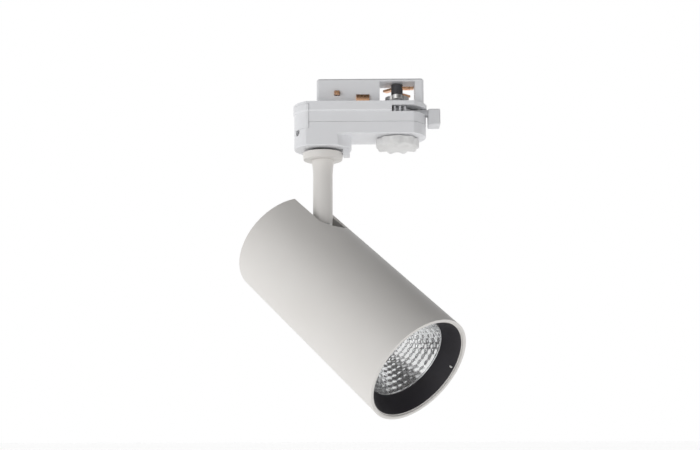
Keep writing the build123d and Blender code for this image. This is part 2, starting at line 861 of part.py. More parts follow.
with BuildPart() as hinge_axle:
    bar(hinge.offset(-cheek_end), axle_radius, 2 * cheek_end + nut_height + axle_end)
    bar(hinge.offset(-cheek_end - axle_head_height), axle_head_radius, axle_head_height)
    with BuildSketch(hinge.offset(-cheek_end - axle_head_height)) as socket:
        RegularPolygon(axle_key / 2, 6, major_radius=False)
    extrude(socket.sketch, amount=axle_key_depth, mode=Mode.SUBTRACT)

with BuildPart() as axle_nut:
    with BuildSketch(hinge.offset(cheek_end)) as nut_outline:
        RegularPolygon(nut_across / 2, 6, major_radius=False)
        Circle(axle_radius, mode=Mode.SUBTRACT)
    extrude(nut_outline.sketch, amount=nut_height)

with BuildPart() as friction_washers:
    ring(hinge.offset(cheek_start - washer_thickness), washer_radius, axle_radius, washer_thickness)
    ring(hinge.offset(-cheek_start), washer_radius, axle_radius, washer_thickness)

# ---- Housing ----------------------------------------------------------------

with BuildPart() as housing_tube:
    ring(head, tube_radius, tube_bore, tube_length)
    with BuildSketch(head_top) as notch:
        with Locations(((notch_length - notch_width / 2) / 2 - tube_wall, 0)):
            Rectangle(notch_length - notch_width / 2 + 2 * tube_wall, notch_width)
        with Locations((notch_length - notch_width / 2, 0)):
            Circle(notch_width / 2)
    extrude(notch.sketch, amount=2 * tube_radius, mode=Mode.SUBTRACT)

with BuildPart() as rear_cap:
    with BuildSketch(head.offset(cap_recess)) as cap_outline:
        Circle(tube_bore - fit_gap)
        with Locations((0, pivot_height)):
            Circle(notch_width / 2, mode=Mode.SUBTRACT)
        with Locations((0, pivot_height + tube_radius / 2)):
            Rectangle(notch_width, tube_radius, mode=Mode.SUBTRACT)
        with Locations((cap_screw_offset, -cap_screw_offset), (-cap_screw_offset, -cap_screw_offset)):
            Circle(screw_radius + screw_clearance, mode=Mode.SUBTRACT)
    extrude(cap_outline.sketch, amount=cap_plate)

with BuildPart() as cap_screws:
    for across in (cap_screw_offset, -cap_screw_offset):
        screw_plane = across_head(cap_recess, across, cap_screw_offset)
        bar(screw_plane.offset(-cap_screw_head), screw_head_radius, cap_screw_head)
        bar(screw_plane, screw_radius, cap_plate + cap_screw_length)
        cross_recess(screw_plane.offset(-cap_screw_head), cross_depth)

# ---- Optics -----------------------------------------------------------------

with BuildPart() as trim_ring:
    ledge_radius = reflector_radius + reflector_wall + trim_clearance
    turned(
        [
            (trim_rear, ledge_radius),
            (trim_rear + trim_ledge, ledge_radius),
            (trim_rear + trim_ledge, trim_bore),
            (baffle_mouth, trim_bore),
            (baffle_mouth, trim_bore + accessory_step),
            (tube_length, trim_bore + accessory_step),
            (tube_length, trim_bore + trim_wall),
            (trim_rear, trim_bore + trim_wall),
        ]
    )

with BuildPart() as baffle:
    baffle_seat = rim_seat + seat_gap
    baffle_inner = reflector_radius + seat_gap
    turned(
        [
            (baffle_seat, baffle_inner),
            (baffle_mouth, baffle_outer - seat_gap),
            (baffle_mouth, baffle_outer),
            (baffle_mouth - 2 * baffle_wall, baffle_outer),
            (baffle_seat + baffle_wall, baffle_inner + 1.5 * baffle_wall),
            (baffle_seat + baffle_wall, baffle_outer),
            (baffle_seat, baffle_outer),
        ]
    )
    with BuildSketch(head.offset(clip_rear - clip_slot_gap)) as clip_slots:
        with PolarLocations(baffle_outer, clip_count, start_angle=clip_angle):
            Rectangle(clip_slot, clip_width + 2 * clip_slot_gap)
    extrude(clip_slots.sketch, amount=clip_length + 2 * clip_slot_gap, mode=Mode.SUBTRACT)

with BuildPart() as baffle_clips:
    with BuildSketch(head.offset(clip_rear)) as clip_ends:
        with PolarLocations(baffle_outer - clip_depth / 2 - fit_gap, clip_count, start_angle=clip_angle):
            Rectangle(clip_depth, clip_width)
    extrude(clip_ends.sketch, amount=clip_length)

with BuildPart() as reflector:
    middle = reflector_height / 2
    flange_rear = trim_rear + trim_ledge + seat_gap
    flange_radius = baffle_outer - 4 * seat_gap
    middle_radius = ((reflector_radius**2 + reflector_neck**2) / 2) ** 0.5
    with BuildSketch(head_section) as bowl:
        with BuildLine():
            ThreePointArc(
                (reflector_seat, reflector_neck),
                (reflector_seat + middle, middle_radius),
                (rim_seat, reflector_radius),
            )
            Polyline(
                (rim_seat, reflector_radius),
                (rim_seat, flange_radius),
                (flange_rear, flange_radius),
                (flange_rear, reflector_radius + reflector_wall),
            )
            ThreePointArc(
                (flange_rear, reflector_radius + reflector_wall),
                (reflector_seat + middle - reflector_wall / 2, middle_radius + reflector_wall),
                (reflector_seat, reflector_neck + reflector_wall),
            )
            Line((reflector_seat, reflector_neck + reflector_wall), (reflector_seat, reflector_neck))
        make_face()
    revolve(bowl.sketch, axis=tube_axis)

# ---- Light source and heat sink ---------------------------------------------

with BuildPart() as cob_board:
    slab(
        head.offset(sink_front),
        (-board_side / 2, -board_side / 2),
        (board_side / 2, board_side / 2),
        board_thickness,
    )

with BuildPart() as led_emitter:
    bar(head.offset(sink_front + board_thickness), emitter_radius, emitter_height)

with BuildPart() as cob_holder:
    bar(head.offset(sink_front), holder_radius, holder_height)
    slab(
        head.offset(sink_front),
        (-board_side / 2 - board_gap, -board_side / 2 - board_gap),
        (board_side / 2 + board_gap, board_side / 2 + board_gap),
        board_thickness,
        Mode.SUBTRACT,
    )
    bar(head.offset(sink_front), holder_opening, holder_height, Mode.SUBTRACT)
    with BuildSketch(head.offset(sink_front)) as holder_holes:
        with Locations((holder_screw_offset, 0), (-holder_screw_offset, 0)):
            Circle(screw_radius + screw_clearance)
        with Locations((0, -lead_drop)):
            Circle(lead_hole)
    extrude(holder_holes.sketch, amount=holder_height, mode=Mode.SUBTRACT)
    with BuildSketch(head.offset(sink_front + holder_height)) as head_pockets:
        with Locations((holder_screw_offset, 0), (-holder_screw_offset, 0)):
            Circle(screw_head_radius + screw_clearance)
    extrude(head_pockets.sketch, amount=-screw_head_height - head_sink, mode=Mode.SUBTRACT)

with BuildPart() as holder_screws:
    for across in (holder_screw_offset, -holder_screw_offset):
        screw_plane = across_head(sink_front + holder_height - head_sink, across)
        bar(screw_plane.offset(-screw_head_height), screw_head_radius, screw_head_height)
        bar(screw_plane.offset(-holder_screw_length), screw_radius, holder_screw_length - screw_head_height)

with BuildPart() as heat_sink:
    bar(head.offset(sink_front - sink_base), tube_bore - fit_gap, sink_base)
    with BuildSketch(head.offset(sink_rear)) as fins:
        with PolarLocations((tube_bore + sink_core_radius) / 2 - fin_root, fin_count):
            Rectangle(tube_bore - sink_core_radius, fin_thickness)
        Circle(sink_core_radius)
        Circle(tube_bore - fin_root, mode=Mode.INTERSECT)
    extrude(fins.sketch, amount=sink_length - sink_base)
    with BuildSketch(head.offset(sink_rear)) as rear_threads:
        with Locations((bracket_screw_offset, 0), (-bracket_screw_offset, 0)):
            Circle(screw_radius)
    extrude(rear_threads.sketch, amount=thread_depth, mode=Mode.SUBTRACT)
    with BuildSketch(head.offset(sink_front)) as front_threads:
        with Locations((holder_screw_offset, 0), (-holder_screw_offset, 0)):
            Circle(screw_radius)
    extrude(front_threads.sketch, amount=-thread_depth, mode=Mode.SUBTRACT)
    with BuildSketch(head.offset(sink_rear)) as lead_way:
        with Locations((0, -lead_drop)):
            Circle(lead_hole)
    extrude(lead_way.sketch, amount=sink_length, mode=Mode.SUBTRACT)

with BuildPart() as bracket_screws:
    for across in (bracket_screw_offset, -bracket_screw_offset):
        screw_plane = across_head(bracket_rear, across)
        bar(screw_plane.offset(-screw_head_height), screw_head_radius, screw_head_height)
        bar(screw_plane, screw_radius, bracket_plate + thread_depth - 2 * head_sink)

with BuildPart() as led_leads:
    with BuildSketch(head.offset(driver_start + driver_length + seat_gap)) as lead_ends:
        with Locations((lead_pitch / 2, -lead_drop), (-lead_pitch / 2, -lead_drop)):
            Circle(lead_radius)
    extrude(lead_ends.sketch, amount=sink_front - driver_start - driver_length)

# ---- Driver -----------------------------------------------------------------

lid_plane = -driver_bottom + driver_height - driver_lid_height
driver_half = driver_width / 2

with BuildPart() as driver_case:
    slab(head.offset(driver_start), (-driver_half, -driver_bottom), (driver_half, lid_plane), driver_length)
    slab(
        head.offset(driver_start + driver_wall),
        (-driver_half + driver_wall, -driver_bottom + driver_wall),
        (driver_half - driver_wall, lid_plane + 1),
        driver_length - 2 * driver_wall,
        Mode.SUBTRACT,
    )
    for across in (cap_screw_offset, -cap_screw_offset):
        post_plane = across_head(cap_recess + cap_plate, across, cap_screw_offset)
        bar(post_plane, 2 * screw_radius, driver_start + 3 * driver_wall - cap_recess - cap_plate)
        bar(post_plane, screw_radius, cap_screw_length + head_sink, Mode.SUBTRACT)

with BuildPart() as driver_lid:
    slab(
        head.offset(driver_start),
        (-driver_half, lid_plane),
        (driver_half, lid_plane + driver_lid_height),
        driver_length,
    )
    slab(
        head.offset(driver_start + driver_wall),
        (-driver_half + driver_wall, lid_plane - 1),
        (driver_half - driver_wall, lid_plane + driver_lid_height - driver_wall),
        driver_length - 2 * driver_wall,
        Mode.SUBTRACT,
    )

circuit_start = driver_start + driver_wall + circuit_inset
circuit_end = driver_start + driver_length - driver_wall - circuit_margin
circuit_length = circuit_end - circuit_start
circuit_half = driver_half - driver_wall - circuit_margin
circuit_bottom = -driver_bottom + driver_wall + circuit_lift
component_base = circuit_bottom + circuit_thickness


def on_circuit(along, across):
    """A plane on the circuit board's face, from its rear end and its middle."""
    at = head.offset(circuit_start + along).origin + side * across + upward * component_base
    return Plane(origin=at, x_dir=forward, z_dir=upward)


with BuildPart() as driver_board:
    slab(
        head.offset(circuit_start),
        (-circuit_half, circuit_bottom),
        (circuit_half, circuit_bottom + circuit_thickness),
        circuit_length,
    )
    for across in (foot_inset - circuit_half, circuit_half - foot_inset):
        for along in (foot_inset, circuit_length - foot_inset):
            bar(
                on_circuit(along, across).offset(-circuit_thickness - circuit_lift),
                foot_radius,
                circuit_lift,
            )

with BuildPart() as driver_components:
    # The transformer, then three capacitors, then two power devices.
    slab(
        on_circuit(transformer_place * circuit_length, 0),
        (0, -transformer_width / 2),
        (transformer_length, transformer_width / 2),
        transformer_height,
    )
    for share, across, radius, tall in capacitors:
        bar(on_circuit(share * circuit_length, across), radius, tall)
    for share, across, long, wide, tall in power_devices:
        slab(on_circuit(share * circuit_length, across), (0, -wide / 2), (long, wide / 2), tall)

# ---- Export -----------------------------------------------------------------

pieces = {
    "adapter_base": adapter_base,
    "adapter_cover": adapter_cover,
    "end_cap": end_cap,
    "shell_screws": shell_screws,
    "track_neck": track_neck,
    "neck_screws": neck_screws,
    "neutral_contact": neutral_contact,
    "earth_contacts": earth_contacts,
    "terminal_block": terminal_block,
    "adapter_wires": adapter_wires,
    "detent_spring": detent_spring,
    "swivel_bush": swivel_bush,
    "grub_screw": grub_screw,
    "locking_lever": locking_lever,
    "lock_cam": lock_cam,
    "selector_knob": selector_knob,
    "selector_shaft": selector_shaft,
    "phase_contacts": phase_contacts,
    "swivel_collar": swivel_collar,
    "stop_washer": stop_washer,
    "swivel_nut": swivel_nut,
    "stem_tube": stem_tube,
    "stem_knuckle": stem_knuckle,
    "supply_wires": supply_wires,
    "hinge_bracket": hinge_bracket,
    "hinge_axle": hinge_axle,
    "axle_nut": axle_nut,
    "friction_washers": friction_washers,
    "housing_tube": housing_tube,
    "rear_cap": rear_cap,
    "cap_screws": cap_screws,
    "trim_ring": trim_ring,
    "baffle": baffle,
    "baffle_clips": baffle_clips,
    "reflector": reflector,
    "cob_board": cob_board,
    "led_emitter": led_emitter,
    "cob_holder": cob_holder,
    "holder_screws": holder_screws,
    "heat_sink": heat_sink,
    "bracket_screws": bracket_screws,
    "led_leads": led_leads,
    "driver_case": driver_case,
    "driver_lid": driver_lid,
    "driver_board": driver_board,
    "driver_components": driver_components,
}

os.makedirs("parts", exist_ok=True)
for name, piece in pieces.items():
    piece.part.label = name
    export_step(piece.part, f"parts/{name}.step")
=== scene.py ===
import json
from math import asin, cos, pi, radians, sin, sqrt

import bmesh
import bpy
import numpy as np
from bpy.props import FloatProperty, FloatVectorProperty, IntProperty, PointerProperty
from mathutils import Matrix, Vector


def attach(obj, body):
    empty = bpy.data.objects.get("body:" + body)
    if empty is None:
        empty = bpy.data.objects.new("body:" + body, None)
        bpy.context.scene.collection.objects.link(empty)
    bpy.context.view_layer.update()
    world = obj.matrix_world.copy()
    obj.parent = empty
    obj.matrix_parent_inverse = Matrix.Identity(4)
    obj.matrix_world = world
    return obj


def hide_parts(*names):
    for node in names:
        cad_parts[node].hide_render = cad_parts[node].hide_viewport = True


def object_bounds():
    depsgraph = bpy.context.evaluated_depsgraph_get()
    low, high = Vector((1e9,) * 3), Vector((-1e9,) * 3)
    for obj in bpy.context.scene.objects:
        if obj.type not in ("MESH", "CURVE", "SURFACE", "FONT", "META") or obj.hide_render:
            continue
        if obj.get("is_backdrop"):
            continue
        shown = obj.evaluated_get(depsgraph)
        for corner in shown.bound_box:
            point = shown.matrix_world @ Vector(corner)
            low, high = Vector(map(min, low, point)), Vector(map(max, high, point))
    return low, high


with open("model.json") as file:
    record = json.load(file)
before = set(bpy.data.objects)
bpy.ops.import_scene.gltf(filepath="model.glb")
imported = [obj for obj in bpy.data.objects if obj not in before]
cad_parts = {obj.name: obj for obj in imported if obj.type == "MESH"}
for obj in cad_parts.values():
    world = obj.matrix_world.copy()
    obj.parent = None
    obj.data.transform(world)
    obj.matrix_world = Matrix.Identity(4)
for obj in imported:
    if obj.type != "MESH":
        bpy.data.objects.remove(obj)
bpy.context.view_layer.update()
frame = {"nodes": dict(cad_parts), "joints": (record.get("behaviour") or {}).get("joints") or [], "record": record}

bl_info = {
    "name": "Track Spotlight",
    "version": (1, 0, 0),
    "blender": (4, 5, 0),
    "location": "3D View > Sidebar > Spotlight",
    "description": "Builds the visible pieces of a track spotlight round its packed frame",
    "category": "Object",
}

MM = 0.001

# ---- Places, read from the frame ---------------------------------------------

mounts = {mount["name"]: mount for mount in frame["record"]["mounts"]}
joints = {joint["name"]: joint for joint in frame["joints"]}
SLOTS = {part["node"]: part["material_slot"] for part in frame["record"]["subparts"]}

forward = Vector(mounts["front_accessory_recess"]["axis"]).normalized()
side = Vector(joints["tilt"]["axis"]).normalized()
upward = forward.cross(side)


def place_at(origin, x_axis, y_axis, z_axis):
    """A local frame as a matrix, from its origin and its three axes."""
    turn = Matrix((x_axis, y_axis, z_axis)).transposed().to_4x4()
    return Matrix.Translation(origin) @ turn


def local_points(node, place):
    """A CAD node's vertices in a local frame."""
    mesh = frame["nodes"][node].data
    points = np.zeros(len(mesh.vertices) * 3)
    mesh.vertices.foreach_get("co", points)
    back = np.array(place.inverted())
    return points.reshape(-1, 3) @ back[:3, :3].T + back[:3, 3]


def reach(node, place):
    """Lowest and highest place of a CAD node along a local frame's Z axis."""
    heights = local_points(node, place)[:, 2]
    return float(heights.min()), float(heights.max())


def radius_range(node, place):
    """Least and greatest distance of a CAD node's vertices from a local frame's Z axis."""
    distances = np.hypot(*local_points(node, place)[:, :2].T)
    return float(distances.min()), float(distances.max())


def lamp_frame():
    """The lamp's own frame: X across it, Y up from its axis, Z out of its front, from the tube's rear."""
    on_axis = place_at(Vector(mounts["front_accessory_recess"]["pos_m"]), side, upward, forward)
    rear, _ = reach("housing_tube", on_axis)
    return on_axis @ Matrix.Translation((0, 0, rear))


LAMP = lamp_frame()
STEM = Matrix.Identity(4)
SELECTOR = Matrix.Translation(Vector(joints["selector_turn"]["pos_m"]) * Vector((1, 1, 0)))


# ---- Mesh helpers -------------------------------------------------------------

def new_object(name, mesh):
    """A linked object for a finished mesh."""
    made = bpy.data.objects.new(name, mesh)
    bpy.context.scene.collection.objects.link(made)
    return made


def mesh_from(name, graph, merge=1e-7, outward=True):
    """A named object from a bmesh, its doubles merged and its faces turned outwards."""
    bmesh.ops.remove_doubles(graph, verts=graph.verts, dist=merge)
    if outward:
        bmesh.ops.recalc_face_normals(graph, faces=graph.faces)
    mesh = bpy.data.meshes.new(name)
    graph.to_mesh(mesh)
    graph.free()
    return new_object(name, mesh)


def smooth(piece, angle=32.0):
    """Smooth shading, with edges sharper than the angle kept sharp."""
    piece.data.shade_smooth()
    piece.data.set_sharp_from_angle(angle=radians(angle))
    return piece


def baked(piece):
    """The same object with its modifiers' result as a plain mesh."""
    bpy.context.view_layer.update()
    shown = piece.evaluated_get(bpy.context.evaluated_depsgraph_get())
    mesh = bpy.data.meshes.new_from_object(shown)
    piece.modifiers.clear()
    old = piece.data
    piece.data = mesh
    bpy.data.meshes.remove(old)
    mesh.name = piece.name
    return piece


def bevelled(piece, width, segments=2, angle=35.0):
    """Rounds the sharp edges of a piece."""
    modifier = piece.modifiers.new("Rounded edges", "BEVEL")
    modifier.width = width
    modifier.segments = segments
    modifier.limit_method = "ANGLE"
    modifier.angle_limit = radians(angle)
    modifier.use_clamp_overlap = True
    modifier.harden_normals = False
    return baked(piece)


def flat_faced(piece):
    """Keeps wide faces flat in the shading, so that only the rounded edges between them turn."""
    modifier = piece.modifiers.new("Flat faces", "WEIGHTED_NORMAL")
    modifier.mode = "FACE_AREA"
    modifier.weight = 60
    modifier.keep_sharp = True
    return baked(piece)


def cut(piece, cutter):
    """Takes one closed mesh out of another, and removes the cutter."""
    modifier = piece.modifiers.new("Cut", "BOOLEAN")
    modifier.operation = "DIFFERENCE"
    modifier.solver = "EXACT"
    modifier.object = cutter
    baked(piece)
    bpy.data.objects.remove(cutter)
    return piece


def rounded(outline, radius, steps=3):
    """A closed outline with each corner turned into a small arc, where its sides leave room."""
    made = []
    count = len(outline)
    for index, corner in enumerate(outline):
        here = Vector(corner)
        to_last = Vector(outline[index - 1]) - here
        to_next = Vector(outline[(index + 1) % count]) - here
        turn = to_last.angle(to_next, pi)
        room = 0.45 * min(to_last.length, to_next.length)
        back = min(radius / max(abs(sin(turn / 2)), 0.05) * abs(cos(turn / 2)), room)
        if turn > radians(172) or back <= 0:
            made.append(here)
            continue
        start = here + to_last.normalized() * back
        end = here + to_next.normalized() * back
        for step in range(steps + 1):
            share = step / steps
            made.append(
                start * (1 - share) ** 2 + here * 2 * share * (1 - share) + end * share**2
            )
    return made


def lathe(name, outline, place, segments=128, closed=True):
    """A turned piece: its outline, as (along, radius) pairs, goes round the place's Z axis."""
    graph = bmesh.new()
    rings = []
    for along, radius in outline:
        if radius < 1e-9:
            rings.append([graph.verts.new(place @ Vector((0, 0, along)))])
            continue
        ring = []
        for step in range(segments):
            angle = 2 * pi * step / segments
            ring.append(graph.verts.new(place @ Vector((radius * cos(angle), radius * sin(angle), along))))
        rings.append(ring)
    pairs = list(zip(rings, rings[1:]))
    if closed:
        pairs.append((rings[-1], rings[0]))
    for low, high in pairs:
        if len(low) == 1 and len(high) == 1:
            continue
        for step in range(segments):
            after = (step + 1) % segments
            corners = [
                low[step % len(low)],
                low[after % len(low)],
                high[after % len(high)],
                high[step % len(high)],
            ]
            graph.faces.new(list(dict.fromkeys(corners)))
    return mesh_from(name, graph)


def box_mesh(name, low, high, place):
    """A closed box between two corners of a local frame."""
    graph = bmesh.new()
    bmesh.ops.create_cube(graph, size=1.0)
    for vert in graph.verts:
        share = vert.co + Vector((0.5, 0.5, 0.5))
        vert.co = place @ Vector([a + (b - a) * s for a, b, s in zip(low, high, share)])
    return mesh_from(name, graph)


def joined(name, pieces):
    """Several objects as one."""
    graph = bmesh.new()
    for piece in pieces:
        graph.from_mesh(piece.data)
        bpy.data.objects.remove(piece)
    mesh = bpy.data.meshes.new(name)
    graph.to_mesh(mesh)
    graph.free()
    return new_object(name, mesh)


def from_cad(name, *nodes, edge=0.0, segments=2, angle=32.0):
    """A merged copy of CAD nodes, with its flat faces whole and its sharp edges rounded."""
    graph = bmesh.new()
    for node in nodes:
        graph.from_mesh(frame["nodes"][node].data)
    bmesh.ops.remove_doubles(graph, verts=graph.verts, dist=2e-6)
    bmesh.ops.dissolve_limit(
        graph, angle_limit=radians(0.6), verts=graph.verts, edges=graph.edges, delimit={"NORMAL"}
    )
    mesh = bpy.data.meshes.new(name)
    graph.to_mesh(mesh)
    graph.free()
    piece = new_object(name, mesh)
    if edge:
        bevelled(piece, edge, segments)
    return flat_faced(smooth(piece, angle))


def islands(node, place):
    """The lowest and highest corner of each separate solid of a CAD node, in a local frame."""
    graph = bmesh.new()
    graph.from_mesh(frame["nodes"][node].data)
    bmesh.ops.remove_doubles(graph, verts=graph.verts, dist=2e-6)
    back = place.inverted()
    left = set(graph.verts)
    found = []
    while left:
        group = [left.pop()]
        for vert in group:
            for edge in vert.link_edges:
                other = edge.other_vert(vert)
                if other in left:
                    left.remove(other)
                    group.append(other)
        points = np.array([back @ vert.co for vert in group])
        found.append((points.min(0), points.max(0)))
    graph.free()
    return sorted(found, key=lambda pair: tuple(np.round(pair[0], 6)))


def settle(piece, body, node):
    """Gives a finished piece its CAD body and the finish of its node's slot, and hides that node."""
    piece.data.materials.clear()
    piece.data.materials.append(FINISHES[SLOTS[node]])
    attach(piece, body)
    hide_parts(node)
    return piece


# ---- Geometry Nodes helper ------------------------------------------------------

class Tree:
    """One Geometry Nodes tree with named inputs."""

    def __init__(self, name, **inputs):
        self.group = bpy.data.node_groups.new(name, "GeometryNodeTree")
        face = self.group.interface
        face.new_socket("Geometry", in_out="INPUT", socket_type="NodeSocketGeometry")
        face.new_socket("Geometry", in_out="OUTPUT", socket_type="NodeSocketGeometry")
        self.identifiers = {}
        for label, kind in inputs.items():
            socket = face.new_socket(label, in_out="INPUT", socket_type=f"NodeSocket{kind}")
            self.identifiers[label] = socket.identifier
        self.inputs = self.node("NodeGroupInput").outputs

    def node(self, kind, _ports=None, **settings):
        """A node with its settings, and values or links on its numbered or named inputs."""
        made = self.group.nodes.new(kind)
        for key, value in settings.items():
            setattr(made, key, value)
        for key, value in (_ports or {}).items():
            self.feed(made.inputs[key], value)
        return made

    def feed(self, port, value):
        """Links an output to an input, or sets the input's own value."""
        if isinstance(value, bpy.types.NodeSocket):
            self.group.links.new(value, port)
        else:
            port.default_value = value

    def math(self, operation, first, second=0.0, third=None):
        """The result of one Math node."""
        ports = {0: first, 1: second}
        if third is not None:
            ports[2] = third
        return self.node("ShaderNodeMath", ports, operation=operation).outputs[0]

    def product(self, first, second):
        """One value times another."""
        return self.math("MULTIPLY", first, second)

    def total(self, first, second):
        """One value plus another."""
        return self.math("ADD", first, second)

    def difference(self, first, second):
        """One value less another."""
        return self.math("SUBTRACT", first, second)

    def ratio(self, first, second):
        """One value over another."""
        return self.math("DIVIDE", first, second)

    def scaled_sum(self, first, factor, added):
        """One value times a factor, plus another."""
        return self.math("MULTIPLY_ADD", first, factor, added)

    def finish(self, geometry):
        """Ends the tree in Realize Instances and Set Material."""
        real = self.node("GeometryNodeRealizeInstances", {0: geometry})
        painted = self.node(
            "GeometryNodeSetMaterial", {"Geometry": real.outputs[0], "Material": self.inputs["Material"]}
        )
        self.node("NodeGroupOutput", {0: painted.outputs[0]})

    def run(self, piece, **values):
        """Runs the tree on an object and leaves the result as a plain mesh."""
        modifier = piece.modifiers.new(self.group.name, "NODES")
        modifier.node_group = self.group
        for label, value in values.items():
            modifier[self.identifiers[label]] = value
        return baked(piece)


def seed_object(name, points=((0, 0, 0),)):
    """An object with only vertices, for a tree to build on."""
    mesh = bpy.data.meshes.new(name)
    mesh.from_pydata([tuple(point) for point in points], [], [])
    return new_object(name, mesh)


# ---- Materials -----------------------------------------------------------------

class Finish:
    """A procedural material: broad tone, fine grain and uneven roughness on Object coordinates."""

    def __init__(self, name, colour, roughness, metallic=0.0, specular=0.5):
        self.material = bpy.data.materials.new(name)
        self.material.use_nodes = True
        self.nodes = self.material.node_tree.nodes
        self.links = self.material.node_tree.links
        self.shader = self.nodes["Principled BSDF"]
        self.colour = colour
        self.shader.inputs["Metallic"].default_value = metallic
        self.shader.inputs["Roughness"].default_value = roughness
        self.shader.inputs["Specular IOR Level"].default_value = specular
        self.shader.inputs["Base Color"].default_value = (*colour, 1)
        self.roughness = roughness
        self.coordinates = self.nodes.new("ShaderNodeTexCoord").outputs["Object"]
        self.normal = None

    def stretched(self, scale):
        """The coordinates, scaled differently along each axis."""
        mapping = self.nodes.new("ShaderNodeMapping")
        mapping.inputs["Scale"].default_value = scale
        self.links.new(self.coordinates, mapping.inputs["Vector"])
        return mapping.outputs["Vector"]

    def noise(self, scale, detail=2.0, vector=None):
        """A noise value, with its scale in cells per metre."""
        made = self.nodes.new("ShaderNodeTexNoise")
        made.inputs["Scale"].default_value = scale
        made.inputs["Detail"].default_value = detail
        self.links.new(vector or self.coordinates, made.inputs["Vector"])
        return made.outputs["Fac"]

    def spread(self, value, low, high, source=(0.3, 0.7)):
        """A value moved to another range."""
        made = self.nodes.new("ShaderNodeMapRange")
        made.inputs["From Min"].default_value = source[0]
        made.inputs["From Max"].default_value = source[1]
        made.inputs["To Min"].default_value = low
        made.inputs["To Max"].default_value = high
        self.links.new(value, made.inputs["Value"])
        return made.outputs["Result"]

    def tone(self, value, amount, warmth=0.0):
        """Varies the colour by a share of itself, and by a little warmth."""
        ramp = self.nodes.new("ShaderNodeValToRGB")
        dark = [c * (1 - amount * (1 + warmth * shift)) for c, shift in zip(self.colour, (-1, 0, 1))]
        light = [min(1.0, c * (1 + amount)) for c in self.colour]
        ramp.color_ramp.elements[0].color = (*dark, 1)
        ramp.color_ramp.elements[1].color = (*light, 1)
        ramp.color_ramp.elements[0].position = 0.3
        ramp.color_ramp.elements[1].position = 0.7
        self.links.new(value, ramp.inputs["Fac"])
        self.links.new(ramp.outputs["Color"], self.shader.inputs["Base Color"])

    def rough(self, value, amount):
        """Varies the roughness either way."""
        low, high = self.roughness - amount, self.roughness + amount
        self.links.new(self.spread(value, low, high), self.shader.inputs["Roughness"])

    def relief(self, value, depth, strength=1.0):
        """Adds bump of a depth in metres, over any that is there."""
        bump = self.nodes.new("ShaderNodeBump")
        bump.inputs["Distance"].default_value = depth
        bump.inputs["Strength"].default_value = strength
        self.links.new(value, bump.inputs["Height"])
        if self.normal is not None:
            self.links.new(self.normal, bump.inputs["Normal"])
        self.normal = bump.outputs["Normal"]
        self.links.new(self.normal, self.shader.inputs["Normal"])

    def pattern(self, kind, scale, output, vector=None, **settings):
        """Another texture's output, such as Voronoi or Wave."""
        made = self.nodes.new(kind)
        for key, value in settings.items():
            setattr(made, key, value)
        made.inputs["Scale"].default_value = scale
        self.links.new(vector or self.coordinates, made.inputs["Vector"])
        return made.outputs[output]

    def mixed(self, factor, first, second):
        """A colour between two, which goes to the shader."""
        made = self.nodes.new("ShaderNodeMix")
        made.data_type = "RGBA"
        made.inputs["A"].default_value = (*first, 1)
        made.inputs["B"].default_value = (*second, 1)
        self.links.new(factor, made.inputs["Factor"])
        self.links.new(made.outputs["Result"], self.shader.inputs["Base Color"])


def powder_coat(name, colour, roughness=0.46):
    """Fine matt powder coat: orange peel, a sparse sparkle of grains and a faint tone."""
    made = Finish(name, colour, roughness, specular=0.42)
    made.tone(made.noise(26, 3), 0.012, 0.3)
    made.rough(made.noise(900, 2), 0.05)
    made.relief(made.noise(1500, 2), 0.00003, 0.5)
    made.relief(made.noise(5200, 1), 0.000010, 0.5)
    return made.material


def moulded(name, colour, roughness=0.4, grain=3200, depth=0.00001):
    """Injection-moulded plastic: a fine spark-eroded grain and faint flow marks."""
    made = Finish(name, colour, roughness, specular=0.45)
    made.tone(made.noise(38, 2), 0.014, 0.2)
    made.rough(made.noise(420, 2), 0.05)
    made.relief(made.noise(grain, 2), depth, 0.5)
    return made.material


def brushed(name, colour, roughness, along=(1, 1, 14), grain=900, depth=0.000012):
    """Metal with a drawn or plated grain in one direction."""
    made = Finish(name, colour, roughness, metallic=1.0)
    lines = made.noise(grain, 3, made.stretched(along))
    made.tone(made.noise(60, 3), 0.06, 0.2)
    made.rough(lines, 0.08)
    made.relief(lines, depth, 0.6)
    return made.material


def matt_black(name, colour):
    """Black anti-glare paint."""
    made = Finish(name, colour, 0.52, specular=0.35)
    made.tone(made.noise(80, 2), 0.12, 0.2)
    made.rough(made.noise(700, 2), 0.06)
    made.relief(made.noise(2600, 2), 0.000014, 0.5)
    return made.material


def metallised(name, colour):
    """Vapour-deposited aluminium over moulded facets, with faint clouding."""
    made = Finish(name, colour, 0.2, metallic=0.97)
    made.tone(made.noise(45, 2), 0.02, 0.1)
    made.rough(made.noise(260, 2), 0.03)
    made.relief(made.noise(2200, 1), 0.000003, 0.4)
    return made.material


def cast_aluminium(name, colour):
    """Die-cast aluminium: mottled, with a pebbled skin."""
    made = Finish(name, colour, 0.44, metallic=1.0)
    made.tone(made.noise(180, 4), 0.10, 0.1)
    made.rough(made.noise(640, 3), 0.09)
    made.relief(made.noise(1700, 3), 0.00003, 0.6)
    return made.material


def phosphor(name, colour):
    """Yellow phosphor gel over rows of chips."""
    made = Finish(name, colour, 0.32)
    chips = made.pattern("ShaderNodeTexVoronoi", 900, "Distance")
    made.tone(chips, 0.10, 0.5)
    made.rough(made.noise(500, 2), 0.05)
    made.relief(made.noise(900, 2), 0.00004, 0.5)
    return made.material


def circuit_green(name, colour):
    """Solder mask over copper tracks."""
    made = Finish(name, colour, 0.3)
    track = made.pattern(
        "ShaderNodeTexVoronoi", 260, "Distance", distance="MANHATTAN", feature="DISTANCE_TO_EDGE"
    )
    made.mixed(made.spread(track, 1.0, 0.0, (0.02, 0.07)), [c * 1.6 for c in colour], colour)
    made.rough(made.noise(500, 2), 0.05)
    made.relief(track, 0.00004, 0.4)
    return made.material


